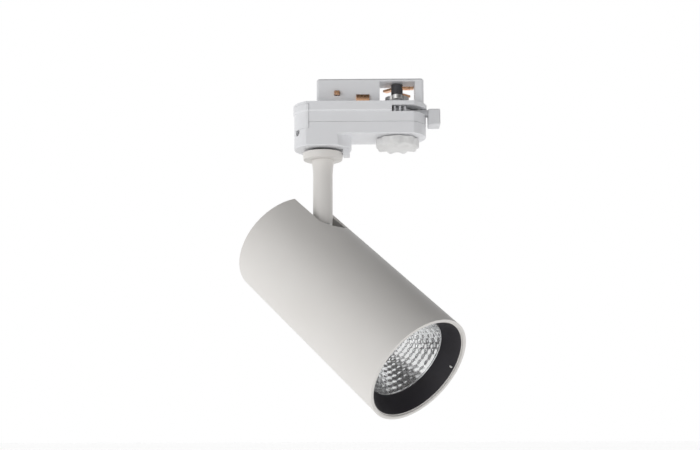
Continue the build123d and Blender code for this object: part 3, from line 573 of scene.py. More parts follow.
def insulation(name, colour):
    """Wire insulation with a slightly uneven skin."""
    made = Finish(name, colour, 0.42)
    made.tone(made.noise(220, 2), 0.07, 0.2)
    made.rough(made.noise(900, 2), 0.06)
    made.relief(made.noise(1300, 2), 0.00002, 0.5)
    return made.material


def finishes(settings):
    """Every finish of the object, by its slot in the record."""
    shell = tuple(settings.plastic_colour)
    coat = tuple(settings.coat_colour)
    return {
        "coated_metal": powder_coat("warm white powder coat", coat),
        "adapter_plastic": moulded("cool white plastic", shell),
        "lever_plastic": moulded("light grey plastic", [c * 0.90 for c in shell]),
        "knob_plastic": moulded("knob plastic", [c * f for c, f in zip(shell, (0.98, 0.97, 0.94))], 0.46),
        "baffle_black": matt_black("baffle black", tuple(settings.baffle_colour)),
        "clip_white": moulded("clip white", (0.82, 0.82, 0.80), 0.35),
        "reflector_silver": metallised("metallised facets", tuple(settings.reflector_colour)),
        "sink_aluminium": cast_aluminium("cast aluminium", (0.60, 0.61, 0.62)),
        "zinc_steel": brushed("zinc-plated steel", (0.64, 0.64, 0.63), 0.34),
        "black_steel": brushed("blackened steel", (0.16, 0.16, 0.165), 0.42),
        "contact_copper": brushed("contact copper", (0.78, 0.46, 0.28), 0.28, (1, 14, 1)),
        "dark_plastic": moulded("glass-filled plastic", (0.055, 0.055, 0.06), 0.5, 1800, 0.00003),
        "terminal_plastic": moulded("natural nylon", (0.68, 0.68, 0.64), 0.38),
        "wire_insulation": insulation("red insulation", (0.42, 0.05, 0.035)),
        "led_phosphor": phosphor("yellow phosphor", (0.86, 0.66, 0.12)),
        "holder_plastic": moulded("holder plastic", (0.84, 0.84, 0.82), 0.42),
        "driver_plastic": moulded("driver case plastic", (0.74, 0.74, 0.72), 0.48, 1800, 0.00002),
        "board_green": circuit_green("solder mask", (0.02, 0.13, 0.05)),
        "component_plastic": moulded("component plastic", (0.035, 0.035, 0.04), 0.4),
    }


# ---- What a user would change ----------------------------------------------------

def length_setting(name, description, millimetres):
    """A length that a user can set."""
    return FloatProperty(name=name, description=description, unit="LENGTH", default=millimetres * MM)


def colour_setting(name, description, default):
    """A colour that a user can set."""
    return FloatVectorProperty(name=name, description=description, subtype="COLOR", default=default)


class FinishSettings(bpy.types.PropertyGroup):
    coat_colour: colour_setting("Coat", "Colour of the lamp's powder coat", (0.745, 0.725, 0.70))
    plastic_colour: colour_setting("Plastic", "Colour of the adapter's shells", (0.80, 0.805, 0.825))
    baffle_colour: colour_setting("Baffle", "Colour of the anti-glare baffle", (0.023, 0.0215, 0.0265))
    reflector_colour: colour_setting("Reflector", "Tint of the reflector's metal", (0.90, 0.905, 0.91))


class HousingSettings(bpy.types.PropertyGroup):
    notch_width: length_setting("Notch width", "Slot for the stem, across the tube", 24.5)
    notch_length: length_setting("Notch length", "Slot for the stem, from the rear edge", 39)
    edge_round: length_setting("Edge", "Rounding of the tube's cut edges", 0.35)
    columns: IntProperty(name="Columns", description="Faces round the tube", default=192, min=24)


class OpticsSettings(bpy.types.PropertyGroup):
    facets_around: IntProperty(
        name="Facets round", description="Facets round the reflector", default=36, min=8
    )
    facet_rows: IntProperty(
        name="Facet rows", description="Rows of facets from neck to rim", default=12, min=3
    )
    facet_depth: length_setting("Facet depth", "Height of a facet's crown", 0.22)
    lip: length_setting("Lip", "Width of the bright bead on the reflector's rim", 0.35)
    lip_height: length_setting("Lip height", "Height of the bead on the reflector's rim", 0.7)
    clip_width: length_setting("Clip width", "Width of a clip that holds the baffle", 1.1)
    clip_gap: length_setting("Clip gap", "Room round a clip in its slot", 0.2)
    slot_depth: length_setting("Slot depth", "Half the depth of the cut that makes a clip's slot", 2.2)


class AdapterSettings(bpy.types.PropertyGroup):
    edge_round: length_setting("Edge", "Rounding of the moulded edges", 0.22)
    shadow_gap: length_setting("Shadow gap", "Fine gap where two shells meet", 0.16)
    flutes: IntProperty(name="Flutes", description="Grip flutes round the selector knob", default=9, min=3)
    flute_depth: length_setting("Flute depth", "Depth of the knob's flutes", 1.1)
    flute_rise: length_setting("Flute rise", "How far a flute cuts up into the knob's face", 1.5)
    knob_round: length_setting("Knob rounding", "Rounding of the knob's lower edge", 1.6)


class StemSettings(bpy.types.PropertyGroup):
    flare_length: length_setting("Flare", "Length of the stem's flare under the collar", 12)
    edge_round: length_setting("Edge", "Rounding of the collar's edges", 0.5)


class StageSettings(bpy.types.PropertyGroup):
    lens: FloatProperty(name="Lens", description="Focal length", unit="CAMERA", default=60.35)
    yaw: FloatProperty(
        name="Yaw", description="Camera turn to its right", subtype="ANGLE", default=radians(-0.87)
    )
    pitch: FloatProperty(
        name="Pitch", description="Camera tilt upwards", subtype="ANGLE", default=radians(9.45)
    )
    roll: FloatProperty(name="Roll", description="Camera roll", subtype="ANGLE", default=radians(0.19))
    camera_place: FloatVectorProperty(
        name="Camera",
        description="Where the camera stands",
        subtype="XYZ",
        default=(0.03026, -0.7827, -0.21226),
    )
    floor_drop: length_setting("Floor", "Floor below the lamp's lowest point", 1100)
    sky: FloatProperty(name="Sky", description="Brightness of the white surround", default=1.0)
    shade: FloatProperty(name="Shade", description="Brightness of the dark cap overhead", default=0.05)


# ---- Pieces -----------------------------------------------------------------------

FINISHES = {}


def build_housing(settings):
    """The lamp's tube, with the open-ended notch that the stem swings in."""
    _, length = reach("housing_tube", LAMP)
    bore, radius = radius_range("housing_tube", LAMP)
    half = settings.notch_width / 2
    straight = settings.notch_length - half
    end_steps = 18
    rows = [(straight * step / 8, half) for step in range(8)]
    for step in range(end_steps + 1):
        angle = pi / 2 * step / end_steps
        rows.append((straight + half * sin(angle), half * cos(angle)))
    rows += [
        (settings.notch_length + (length - settings.notch_length) * step / 12, 0.0) for step in range(1, 13)
    ]
    graph = bmesh.new()
    walls = []
    for wall_radius in (radius, bore):
        grid = []
        for along, gap in rows:
            start = asin(min(1.0, max(gap, 0.0) / wall_radius))
            ring = []
            for step in range(settings.columns + 1):
                angle = start + (2 * pi - 2 * start) * step / settings.columns
                across, up = wall_radius * sin(angle), wall_radius * cos(angle)
                ring.append(graph.verts.new(LAMP @ Vector((across, up, along))))
            grid.append(ring)
        walls.append(grid)
    outer, inner = walls
    for grid in walls:
        for low_ring, high_ring in zip(grid, grid[1:]):
            for step in range(settings.columns):
                graph.faces.new((low_ring[step], low_ring[step + 1], high_ring[step + 1], high_ring[step]))
    for index in (0, -1):
        for step in range(settings.columns):
            graph.faces.new(
                (outer[index][step], outer[index][step + 1], inner[index][step + 1], inner[index][step])
            )
    for row in range(8 + end_steps):
        for column in (0, -1):
            graph.faces.new(
                (outer[row][column], outer[row + 1][column], inner[row + 1][column], inner[row][column])
            )
    piece = mesh_from("lamp_housing", graph, merge=1e-6)
    bevelled(piece, settings.edge_round, 3, 50)
    smooth(piece, 40)
    return settle(piece, "head", "housing_tube")


def build_trim_ring():
    """The inner ring of the lamp's mouth, with its ledge and its accessory recess."""
    inner = local_points("trim_ring", LAMP)
    distances = np.hypot(inner[:, 0], inner[:, 1])
    rear, front = reach("trim_ring", LAMP)
    levels = sorted({round(float(value), 5) for value in distances})
    ledge, bore, recess, outer = levels[0], levels[1], levels[2], levels[-1]
    step_at = sorted({round(float(value), 5) for value in inner[:, 2]})
    ledge_front, recess_rear = step_at[1], step_at[-2]
    outline = [
        (rear, ledge),
        (ledge_front, ledge),
        (ledge_front, bore),
        (recess_rear, bore),
        (recess_rear, recess),
        (front, recess),
        (front, outer),
        (rear, outer),
    ]
    piece = lathe("trim_lip", rounded(outline, 0.22 * MM), LAMP, 192)
    smooth(piece, 40)
    return settle(piece, "head", "trim_ring")


def build_baffle(settings):
    """The black cone in front of the reflector, with a slot for each clip."""
    rear, front = reach("baffle", LAMP)
    inner, outer = radius_range("baffle", LAMP)
    wall = 1.2 * MM
    edge = 0.25 * MM
    lead_in = 0.15 * MM
    outline = [
        (rear, inner + settings.lip),
        (front - lead_in, outer - 2 * edge),
        (front, outer - edge),
        (front, outer),
        (front - 2 * wall, outer),
        (rear + wall, inner + 2 * wall),
        (rear + wall, outer),
        (rear, outer),
    ]
    piece = lathe("anti_glare_baffle", rounded(outline, 0.2 * MM), LAMP, 192)
    for number, (low, high) in enumerate(islands("baffle_clips", LAMP)):
        middle = Vector((low + high) / 2)
        outwards = Vector((middle.x, middle.y, 0)).normalized()
        slot_place = LAMP @ place_at((0, 0, middle.z), outwards, Vector((0, 0, 1)).cross(outwards), (0, 0, 1))
        distance = Vector((middle.x, middle.y)).length
        half_length = (high[2] - low[2]) / 2 + settings.clip_gap
        half_width = settings.clip_width / 2 + settings.clip_gap
        cutter = box_mesh(
            f"slot_cutter_{number}",
            (distance - settings.slot_depth, -half_width, -half_length),
            (distance + settings.slot_depth, half_width, half_length),
            slot_place,
        )
        cut(piece, cutter)
    smooth(piece, 35)
    settle(piece, "head", "baffle")
    clips = from_cad("louvre_clips", "baffle_clips", edge=0.18 * MM)
    return settle(clips, "head", "baffle_clips")


def facet_tree():
    """A bowl of cushioned facets, in staggered rows from its neck to its rim."""
    tree = Tree(
        "Reflector facets",
        **{
            "Facets Around": "Int",
            "Facet Rows": "Int",
            "Facet Depth": "Float",
            "Neck Radius": "Float",
            "Rim Radius": "Float",
            "Bowl Depth": "Float",
            "Material": "Material",
        },
    )
    feed = tree.inputs
    across = tree.total(tree.product(feed["Facet Rows"], 6), 1)
    around = tree.total(tree.product(feed["Facets Around"], 6), 1)
    grid = tree.node(
        "GeometryNodeMeshGrid", {"Size X": 1.0, "Size Y": 1.0, "Vertices X": across, "Vertices Y": around}
    )
    position = tree.node("GeometryNodeInputPosition")
    split = tree.node("ShaderNodeSeparateXYZ", {0: position.outputs[0]})
    depth_share = tree.total(split.outputs["X"], 0.5)
    turn_share = tree.total(split.outputs["Y"], 0.5)
    grow = tree.difference(feed["Rim Radius"], feed["Neck Radius"])
    radius = tree.scaled_sum(grow, depth_share, feed["Neck Radius"])
    neck_square = tree.product(feed["Neck Radius"], feed["Neck Radius"])
    rim_square = tree.product(feed["Rim Radius"], feed["Rim Radius"])
    square_rise = tree.difference(tree.product(radius, radius), neck_square)
    square_run = tree.difference(rim_square, neck_square)
    height = tree.ratio(tree.product(square_rise, feed["Bowl Depth"]), square_run)
    slope = tree.ratio(
        square_run, tree.product(tree.product(radius, 2.0), feed["Bowl Depth"])
    )
    slant = tree.math("SQRT", tree.scaled_sum(slope, slope, 1.0))
    rows = tree.product(depth_share, feed["Facet Rows"])
    stagger = tree.product(tree.math("MODULO", tree.math("FLOOR", rows), 2.0), 0.5)
    columns = tree.scaled_sum(turn_share, feed["Facets Around"], stagger)
    crown = tree.math(
        "MULTIPLY",
        tree.math("ABSOLUTE", tree.math("SINE", tree.product(rows, pi))),
        tree.math("ABSOLUTE", tree.math("SINE", tree.product(columns, pi))),
    )
    lift = tree.ratio(tree.product(crown, feed["Facet Depth"]), slant)
    far = tree.difference(radius, lift)
    angle = tree.product(turn_share, 2 * pi)
    placed = tree.node(
        "ShaderNodeCombineXYZ",
        {
            0: tree.product(far, tree.math("COSINE", angle)),
            1: tree.product(far, tree.math("SINE", angle)),
            2: tree.scaled_sum(lift, slope, height),
        },
    )
    bowl = tree.node("GeometryNodeSetPosition", {"Geometry": grid.outputs[0], "Position": placed.outputs[0]})
    tree.finish(bowl.outputs[0])
    return tree


def build_reflector(settings):
    """The faceted bowl, with its bright lip, its flange and its back."""
    rear, rim = reach("reflector", LAMP)
    neck, flange = radius_range("reflector", LAMP)
    wall = 1.0 * MM
    flange_thickness = 0.9 * MM
    baffle_gap = 0.1 * MM
    rim_radius = radius_range("baffle", LAMP)[0] - baffle_gap
    bowl = facet_tree().run(
        seed_object("reflector_bowl_seed"),
        **{
            "Facets Around": settings.facets_around,
            "Facet Rows": settings.facet_rows,
            "Facet Depth": settings.facet_depth,
            "Neck Radius": neck,
            "Rim Radius": rim_radius,
            "Bowl Depth": rim - rear,
            "Material": FINISHES["reflector_silver"],
        },
    )
    bowl.data.transform(LAMP @ Matrix.Translation((0, 0, rear)))
    steps = 14
    back = [(rim, rim_radius), (rim + 0.9 * settings.lip_height, rim_radius + 0.1 * settings.lip)]
    back += [(rim + settings.lip_height, rim_radius + 0.4 * settings.lip)]
    back += [(rim + 0.8 * settings.lip_height, rim_radius + settings.lip), (rim, rim_radius + settings.lip)]
    back += [
        (rim, flange),
        (rim - flange_thickness, flange),
        (rim - flange_thickness, rim_radius + wall),
    ]
    for step in range(1, steps + 1):
        radius = rim_radius + (neck - rim_radius) * step / steps
        along = rear + (rim - rear) * (radius**2 - neck**2) / (rim_radius**2 - neck**2)
        back.append((min(along, rim - wall), radius + wall))
    back += [(rear, neck + wall), (rear, neck)]
    shell = lathe("reflector_back", back, LAMP, settings.facets_around * 6, closed=False)
    piece = joined("reflector_bowl", [bowl, shell])
    graph = bmesh.new()
    graph.from_mesh(piece.data)
    bmesh.ops.remove_doubles(graph, verts=graph.verts, dist=4e-6)
    bmesh.ops.recalc_face_normals(graph, faces=graph.faces)
    graph.to_mesh(piece.data)
    graph.free()
    smooth(piece, 60)
    return settle(piece, "head", "reflector")


def build_stem(settings):
    """The collar under the adapter, and the flared stem that turns in it."""
    low, high = reach("swivel_collar", STEM)
    bore, radius = radius_range("swivel_collar", STEM)
    outline = [
        (low, bore),
        (low, radius - 0.5 * MM),
        (low + 3 * MM, radius),
        (high, radius),
        (high, bore),
    ]
    collar = lathe("swivel_collar_piece", rounded(outline, settings.edge_round, 5), STEM, 128)
    smooth(collar, 40)
    settle(collar, "stem", "swivel_collar")

    end, top = reach("stem_tube", STEM)
    points = local_points("stem_tube", STEM)
    distances = np.hypot(points[:, 0], points[:, 1])
    flare = float(distances.max())
    tube = float(distances[points[:, 2] < end + MM].max())
    bore = float(distances[points[:, 2] < end + MM].min())
    spigot = float(distances[points[:, 2] > top - MM].max())
    narrow = float(distances[points[:, 2] > top - MM].min())
    steps = 16
    outline = [(top, narrow), (top, spigot), (low, spigot)]
    for step in range(steps + 1):
        share = step / steps
        outline.append((low - settings.flare_length * share, tube + (flare - tube) * (1 - share) ** 2))
    outline += [(end, tube), (end, bore), (low - 3 * MM, bore), (low - 3 * MM, narrow)]
    stem = lathe("stem", rounded(outline, 0.25 * MM), STEM, 96)
    smooth(stem, 40)
    return settle(stem, "stem", "stem_tube")


def flute_tree():
    """Cuts flutes into the side of a turned piece that stands on the Z axis."""
    tree = Tree(
        "Grip flutes",
        **{
            "Flutes": "Int",
            "Flute Depth": "Float",
            "Flute Rise": "Float",
            "Outer Radius": "Float",
            "Lower Face": "Float",
            "Height": "Float",
            "First Angle": "Float",
            "Material": "Material",
        },
    )
    feed = tree.inputs
    position = tree.node("GeometryNodeInputPosition").outputs[0]
    split = tree.node("ShaderNodeSeparateXYZ", {0: position})
    angle = tree.math("ARCTAN2", split.outputs["Y"], split.outputs["X"])
    turned = tree.product(tree.difference(angle, feed["First Angle"]), feed["Flutes"])
    scoop = tree.scaled_sum(tree.math("COSINE", turned), 0.5, 0.5)
    radius = tree.math(
        "SQRT",
        tree.math(
            "ADD",
            tree.product(split.outputs["X"], split.outputs["X"]),
            tree.product(split.outputs["Y"], split.outputs["Y"]),
        ),
    )
    share = tree.ratio(radius, feed["Outer Radius"])
    fade = tree.node(
        "ShaderNodeMapRange",
        {"Value": share, "From Min": 0.5, "From Max": 0.97, "To Min": 0.0, "To Max": 1.0},
        interpolation_type="SMOOTHSTEP",
    ).outputs[0]
    hollow = tree.product(scoop, fade)
    inward = tree.product(hollow, feed["Flute Depth"])
    below_top = tree.math(
        "SUBTRACT",
        1.0,
        tree.ratio(tree.difference(split.outputs["Z"], feed["Lower Face"]), feed["Height"]),
    )
    upwards = tree.product(tree.product(hollow, below_top), feed["Flute Rise"])
    scale = tree.difference(1.0, tree.ratio(inward, tree.math("MAXIMUM", radius, 1e-5)))
    moved = tree.node(
        "ShaderNodeCombineXYZ",
        {
            0: tree.product(split.outputs["X"], scale),
            1: tree.product(split.outputs["Y"], scale),
            2: tree.total(split.outputs["Z"], upwards),
        },
    )
    shaped = tree.node(
        "GeometryNodeSetPosition", {"Geometry": feed["Geometry"], "Position": moved.outputs[0]}
    )
    tree.finish(shaped.outputs[0])
    return tree


def build_knob(settings):
    """The selector knob: a fluted disc with a soft lower edge and a socket for its shaft."""
    low, high = reach("selector_knob", SELECTOR)
    _, radius = radius_range("selector_knob", SELECTOR)
    shaft_points = local_points("selector_shaft", SELECTOR)
    shaft_low = float(shaft_points[:, 2].min())
    socket = float(np.hypot(*shaft_points[shaft_points[:, 2] < shaft_low + MM][:, :2].T).max())
    chamfer = 0.5 * MM
    outline = [(high, socket), (high, radius - chamfer), (high - chamfer, radius)]
    steps = 8
    for step in range(steps + 1):
        turn = pi / 2 * step / steps
        inset = settings.knob_round * (1 - cos(turn))
        drop = settings.knob_round * (1 - sin(turn))
        outline.append((low + drop, radius - inset))
    rings = 8
    face = radius - settings.knob_round
    for step in range(1, rings + 1):
        share = step / rings
        outline.append((low + 0.25 * MM * share * share, face * (1 - share)))
    outline += [(shaft_low, 0.0), (shaft_low, socket)]
    blank = lathe("selector_knob_piece", outline, Matrix.Identity(4), 288)
    knob = flute_tree().run(
        blank,
        **{
            "Flutes": settings.flutes,
            "Flute Depth": settings.flute_depth,
            "Flute Rise": settings.flute_rise,
            "Outer Radius": radius,
            "Lower Face": low,
            "Height": high - low,
            "First Angle": pi / 2,
            "Material": FINISHES["knob_plastic"],
        },
    )
    knob.data.transform(SELECTOR)
    smooth(knob, 50)
    return settle(knob, "selector", "selector_knob")


def drawn_back(piece, axis, level, amount):
    """Moves the vertices that lie on one plane, so that a fine gap opens between two shells."""
    for vert in piece.data.vertices:
        if abs(vert.co[axis] - level) < 0.02 * MM:
            vert.co[axis] += amount
    return piece


def build_adapter(settings):
    """The adapter's cover, base and end cap, with softened edges and a fine gap where they meet."""
    cap_edge = float(local_points("end_cap", STEM)[:, 0].max())
    split = reach("adapter_base", STEM)[1]
    for name, node, axis, level in (
        ("cover_shell", "adapter_cover", 0, cap_edge),
        ("base_shell", "adapter_base", 2, split),
        ("end_cap_shell", "end_cap", 0, cap_edge),
    ):
        piece = from_cad(name, node)
        drawn_back(piece, axis, level, -settings.shadow_gap)
        flat_faced(smooth(bevelled(piece, settings.edge_round)))
        settle(piece, "adapter", node)


def build_lever():
    """The locking lever with its grip ribs, and the cam on its hub."""
    lever = from_cad("lever", "locking_lever", edge=0.15 * MM)
    settle(lever, "lever", "locking_lever")
    cam = from_cad("cam", "lock_cam", edge=0.2 * MM)
    return settle(cam, "lever", "lock_cam")


def screw_template(name, head_radius, head_height, shank_radius, length):
    """A pan-head screw with a cross recess, its head's seat on Z 0 and its shank along -Z."""
    outline = [
        (0.0, 0.0),
        (0.0, head_radius),
        (head_height * 0.45, head_radius),
        (head_height * 0.85, head_radius * 0.78),
        (head_height, head_radius * 0.45),
        (head_height, 0.0),
    ]
    outline = [outline[0], *rounded(outline[1:-1], 0.12 * MM), outline[-1]]
    head = lathe(name + "_head", outline, Matrix.Identity(4), 40)
    arm, half = head_radius * 0.56, head_radius * 0.14
    deep = head_height * 0.42
    top = head_height + MM
    for number, (x, y) in enumerate(((arm, half), (half, arm))):
        cutter = box_mesh(f"{name}_cutter_{number}", (-x, -y, deep), (x, y, top), Matrix.Identity(4))
        cut(head, cutter)
    turns = max(3, int(length / (0.9 * MM)))
    thread = [(0.0, 0.0), (0.0, shank_radius)]
    for step in range(turns):
        along = -length * (step + 0.5) / turns
        thread += [(along + 0.25 * length / turns, shank_radius), (along, shank_radius * 0.86)]
        thread += [(along - 0.25 * length / turns, shank_radius)]
    thread += [(-length, shank_radius * 0.8), (-length, 0.0)]
    shank = lathe(name + "_shank", thread, Matrix.Identity(4), 24)
    made = joined(name, [head, shank])
    return smooth(made, 32)


def screw_tree():
    """Puts one screw on each point of a mesh, all turned the same way."""
    tree = Tree(
        "Screws", **{"Screw": "Object", "Direction": "Vector", "Scale": "Float", "Material": "Material"}
    )
    feed = tree.inputs
    screw = tree.node("GeometryNodeObjectInfo", {"Object": feed["Screw"]})
    turn = tree.node(
        "FunctionNodeAlignRotationToVector", {"Vector": feed["Direction"]}, axis="Z"
    )
    spread = tree.node(
        "GeometryNodeInstanceOnPoints",
        {
            "Points": feed["Geometry"],
            "Instance": screw.outputs["Geometry"],
            "Rotation": turn.outputs[0],
            "Scale": feed["Scale"],
        },
    )
    tree.finish(spread.outputs[0])
    return tree


def build_screws(tree, name, node, place, up, body, head_at_high=True):
    """All the screws of one CAD node, from the place and size of its solids."""
    seats = []
    for low, high in islands(node, place):
        middle = (low + high) / 2
        head_radius = (high[0] - low[0]) / 2
        points = local_points(node, place)
        near = points[np.hypot(points[:, 0] - middle[0], points[:, 1] - middle[1]) < head_radius * 1.05]
        distances = np.hypot(near[:, 0] - middle[0], near[:, 1] - middle[1])
        wide = near[distances > head_radius * 0.97][:, 2]
        shank = float(distances[(near[:, 2] < wide.min() - MM) | (near[:, 2] > wide.max() + MM)].max())
        seat = wide.min() if head_at_high else wide.max()
        far = low[2] if head_at_high else high[2]
        seats.append(place @ Vector((middle[0], middle[1], seat)))
        height, length = float(wide.max() - wide.min()), float(abs(seat - far))
    template = screw_template(name + "_template", head_radius, height, shank, length)
    piece = tree.run(
        seed_object(name, seats),
        Screw=template,
        Direction=up,
        Scale=1.0,
        Material=FINISHES[SLOTS[node]],
    )
    bpy.data.objects.remove(template)
    smooth(piece, 32)
    return settle(piece, body, node)


def build_fasteners():
    """Every visible or hidden screw of the adapter and the lamp."""
    tree = screw_tree()
    build_screws(tree, "shell_screw_set", "shell_screws", STEM, Vector((0, 0, 1)), "adapter")
    build_screws(tree, "cap_screw_set", "cap_screws", LAMP, -forward, "head", head_at_high=False)
    build_screws(tree, "bracket_screw_set", "bracket_screws", LAMP, -forward, "head", head_at_high=False)
    build_screws(tree, "holder_screw_set", "holder_screws", LAMP, forward, "head")


def fin_tree():
    """A ring of flat fins round a core, standing on the XY plane."""
    tree = Tree(
        "Cooling fins",
        **{
            "Fins": "Int",
            "Fin Size": "Vector",
            "Middle Radius": "Float",
            "Core Radius": "Float",
            "Material": "Material",
        },
    )
    feed = tree.inputs
    ring = tree.node(
        "GeometryNodeMeshCircle", {"Vertices": feed["Fins"], "Radius": feed["Middle Radius"]}
    )
    where = tree.node("GeometryNodeInputPosition").outputs[0]
    split = tree.node("ShaderNodeSeparateXYZ", {0: where})
    angle = tree.math("ARCTAN2", split.outputs["Y"], split.outputs["X"])
    turn = tree.node("ShaderNodeCombineXYZ", {2: angle})
    fin = tree.node("GeometryNodeMeshCube", {"Size": feed["Fin Size"]})
    fins = tree.node(
        "GeometryNodeInstanceOnPoints",
        {"Points": ring.outputs[0], "Instance": fin.outputs[0], "Rotation": turn.outputs[0]},
    )
    height = tree.node("ShaderNodeSeparateXYZ", {0: feed["Fin Size"]}).outputs["Z"]
    core = tree.node(
        "GeometryNodeMeshCylinder", {"Vertices": 96, "Radius": feed["Core Radius"], "Depth": height}
    )
    both = tree.node("GeometryNodeJoinGeometry")
    tree.group.links.new(core.outputs["Mesh"], both.inputs[0])
    tree.group.links.new(fins.outputs[0], both.inputs[0])
    tree.finish(both.outputs[0])
    return tree


def build_heat_sink():
    """The die-cast heat sink: a round base that fits the tube, a core and its fins."""
    rear, front = reach("heat_sink", LAMP)
    _, radius = radius_range("heat_sink", LAMP)
    fins = 20
    fin_thickness = 1.5 * MM
    fin_sink = 0.6 * MM
    tube_gap = 0.5 * MM
    core = 13 * MM
    base = 4.5 * MM
    fin_long = radius - tube_gap - core + fin_sink
    star = fin_tree().run(
        seed_object("heat_sink_fins"),
        **{
            "Fins": fins,
            "Fin Size": Vector((fin_long, fin_thickness, front - base - rear)),
            "Middle Radius": core - fin_sink + fin_long / 2,
            "Core Radius": core,
            "Material": FINISHES["sink_aluminium"],
        },
    )
    star.data.transform(LAMP @ Matrix.Translation((0, 0, (rear + front - base) / 2)))
    disc_outline = [(front - base, radius), (front, radius), (front, 0.0), (front - base, 0.0)]
    disc = lathe("heat_sink_base", disc_outline, LAMP, 160)
    piece = joined("cast_heat_sink", [star, disc])
    smooth(piece, 32)
    return settle(piece, "head", "heat_sink")


PLAIN_COPIES = (
    ("neck", "track_neck", "adapter", 0.3),
    ("swivel_bush_piece", "swivel_bush", "adapter", 0.2),
    ("neutral_strip", "neutral_contact", "adapter", 0.15),
    ("earth_leaves", "earth_contacts", "adapter", 0.12),
    ("terminals", "terminal_block", "adapter", 0.2),
    ("detent_leaf", "detent_spring", "adapter", 0.1),
    ("pan_grub_screw", "grub_screw", "adapter", 0.12),
    ("selector_spindle", "selector_shaft", "selector", 0.15),
    ("phase_blades", "phase_contacts", "selector", 0.15),
    ("pan_stop_washer", "stop_washer", "stem", 0.12),
    ("swivel_ring_nut", "swivel_nut", "stem", 0.2),
    ("knuckle", "stem_knuckle", "stem", 0.3),
    ("bracket", "hinge_bracket", "head", 0.25),
    ("tilt_axle", "hinge_axle", "head", 0.2),
    ("tilt_nut", "axle_nut", "head", 0.25),
    ("brake_washers", "friction_washers", "head", 0.1),
    ("rear_plate", "rear_cap", "head", 0.3),
    ("led_holder", "cob_holder", "head", 0.25),
    ("led_board", "cob_board", "head", 0.08),
    ("driver_tray", "driver_case", "head", 0.25),
    ("driver_cover", "driver_lid", "head", 0.35),
    ("circuit_board", "driver_board", "head", 0.08),
    ("circuit_components", "driver_components", "head", 0.25),
)


def build_working_parts():
    """The pieces inside, as softened copies of their CAD solids, in their own finishes."""
    for name, node, body, edge in PLAIN_COPIES:
        piece = from_cad(name, node, edge=edge * MM)
        settle(piece, body, node)


def finish_carried_nodes():
    """Gives every CAD node its slot's finish, so that any that shows has a full material."""
    for node, piece in frame["nodes"].items():
        piece.data.materials.clear()
        piece.data.materials.append(FINISHES[SLOTS[node]])


# ---- Stage -------------------------------------------------------------------------

FLOOR_SIZE = 60.0
FLOOR_GLOW = 0.62
CAP_DIRECTION = (0.34, -0.34, 0.875)
CAP_EDGE = radians(80)      # where the dark cap starts, from its middle
CAP_CORE = radians(45)      # where it is fully dark
# name, place in metres, size in metres, power in watts
LIGHTS = (
    ("key", (-0.9, -1.3, 0.1), 0.9, 3.0),
    ("glint", (0.5, -0.9, 0.9), 0.14, 0.5),
    ("low_glint", (0.9, -0.9, -0.2), 0.14, 0.45),
)


def build_camera(settings):
    """The camera, from its place and its three turns."""
    data = bpy.data.cameras.new("camera")
    data.lens = settings.lens
    data.sensor_width = 36.0
    data.clip_start = 0.01
    camera = new_object("camera", data)
    yaw, pitch, roll = settings.yaw, settings.pitch, settings.roll
    ahead = Vector((sin(yaw) * cos(pitch), cos(yaw) * cos(pitch), sin(pitch)))
    right = Vector((cos(yaw), -sin(yaw), 0))
    down = ahead.cross(right)
    right_rolled = right * cos(roll) + down * sin(roll)
    up = right_rolled.cross(ahead)
    camera.matrix_world = place_at(Vector(settings.camera_place), right_rolled, up, -ahead)
    bpy.context.scene.camera = camera


def build_floor(settings):
    """A pale floor well under the lamp, bright enough to light it from below."""
    low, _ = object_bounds()
    graph = bmesh.new()
    bmesh.ops.create_grid(graph, x_segments=1, y_segments=1, size=FLOOR_SIZE)
    floor = mesh_from("floor", graph, outward=False)
    floor.data.transform(Matrix.Translation((0, 0, low.z - settings.floor_drop)))
    made = Finish("pale floor", (0.92, 0.92, 0.92), 0.9)
    made.tone(made.noise(3, 2), 0.01)
    made.shader.inputs["Emission Color"].default_value = (1, 1, 1, 1)
    made.shader.inputs["Emission Strength"].default_value = FLOOR_GLOW
    floor.data.materials.append(made.material)
    floor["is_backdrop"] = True


def build_surround(settings):
    """White all round, with a soft dark cap above and in front, where the ceiling and the track would be."""
    world = bpy.data.worlds.new("surround")
    bpy.context.scene.world = world
    world.use_nodes = True
    nodes, links = world.node_tree.nodes, world.node_tree.links
    direction = nodes.new("ShaderNodeTexCoord").outputs["Generated"]
    dot = nodes.new("ShaderNodeVectorMath")
    dot.operation = "DOT_PRODUCT"
    dot.inputs[1].default_value = Vector(CAP_DIRECTION).normalized()
    links.new(direction, dot.inputs[0])
    cap = nodes.new("ShaderNodeMapRange")
    cap.interpolation_type = "SMOOTHSTEP"
    cap.inputs["From Min"].default_value = cos(CAP_EDGE)
    cap.inputs["From Max"].default_value = cos(CAP_CORE)
    cap.inputs["To Min"].default_value = settings.sky
    cap.inputs["To Max"].default_value = settings.shade
    links.new(dot.outputs["Value"], cap.inputs["Value"])
    links.new(cap.outputs["Result"], nodes["Background"].inputs["Strength"])
    nodes["Background"].inputs["Color"].default_value = (1, 1, 1, 1)


def area_light(name, place, target, size, power):
    """A soft rectangular light that faces a point."""
    data = bpy.data.lights.new(name, "AREA")
    data.size = size
    data.energy = power
    light = new_object(name, data)
    light.location = place
    light.rotation_mode = "QUATERNION"
    light.rotation_quaternion = (Vector(target) - Vector(place)).to_track_quat("-Z", "Y")
    light.visible_camera = False
    return light


def build_stage(settings):
    """The camera, the floor, the white surround, the soft key light and the two glints."""
    build_camera(settings)
    build_floor(settings)
    build_surround(settings)
    for name, place, size, power in LIGHTS:
        area_light(name, place, LAMP.translation, size, power)
    bpy.context.scene.view_settings.view_transform = "Standard"
    bpy.context.scene.view_settings.look = "None"


# ---- Operators ----------------------------------------------------------------------

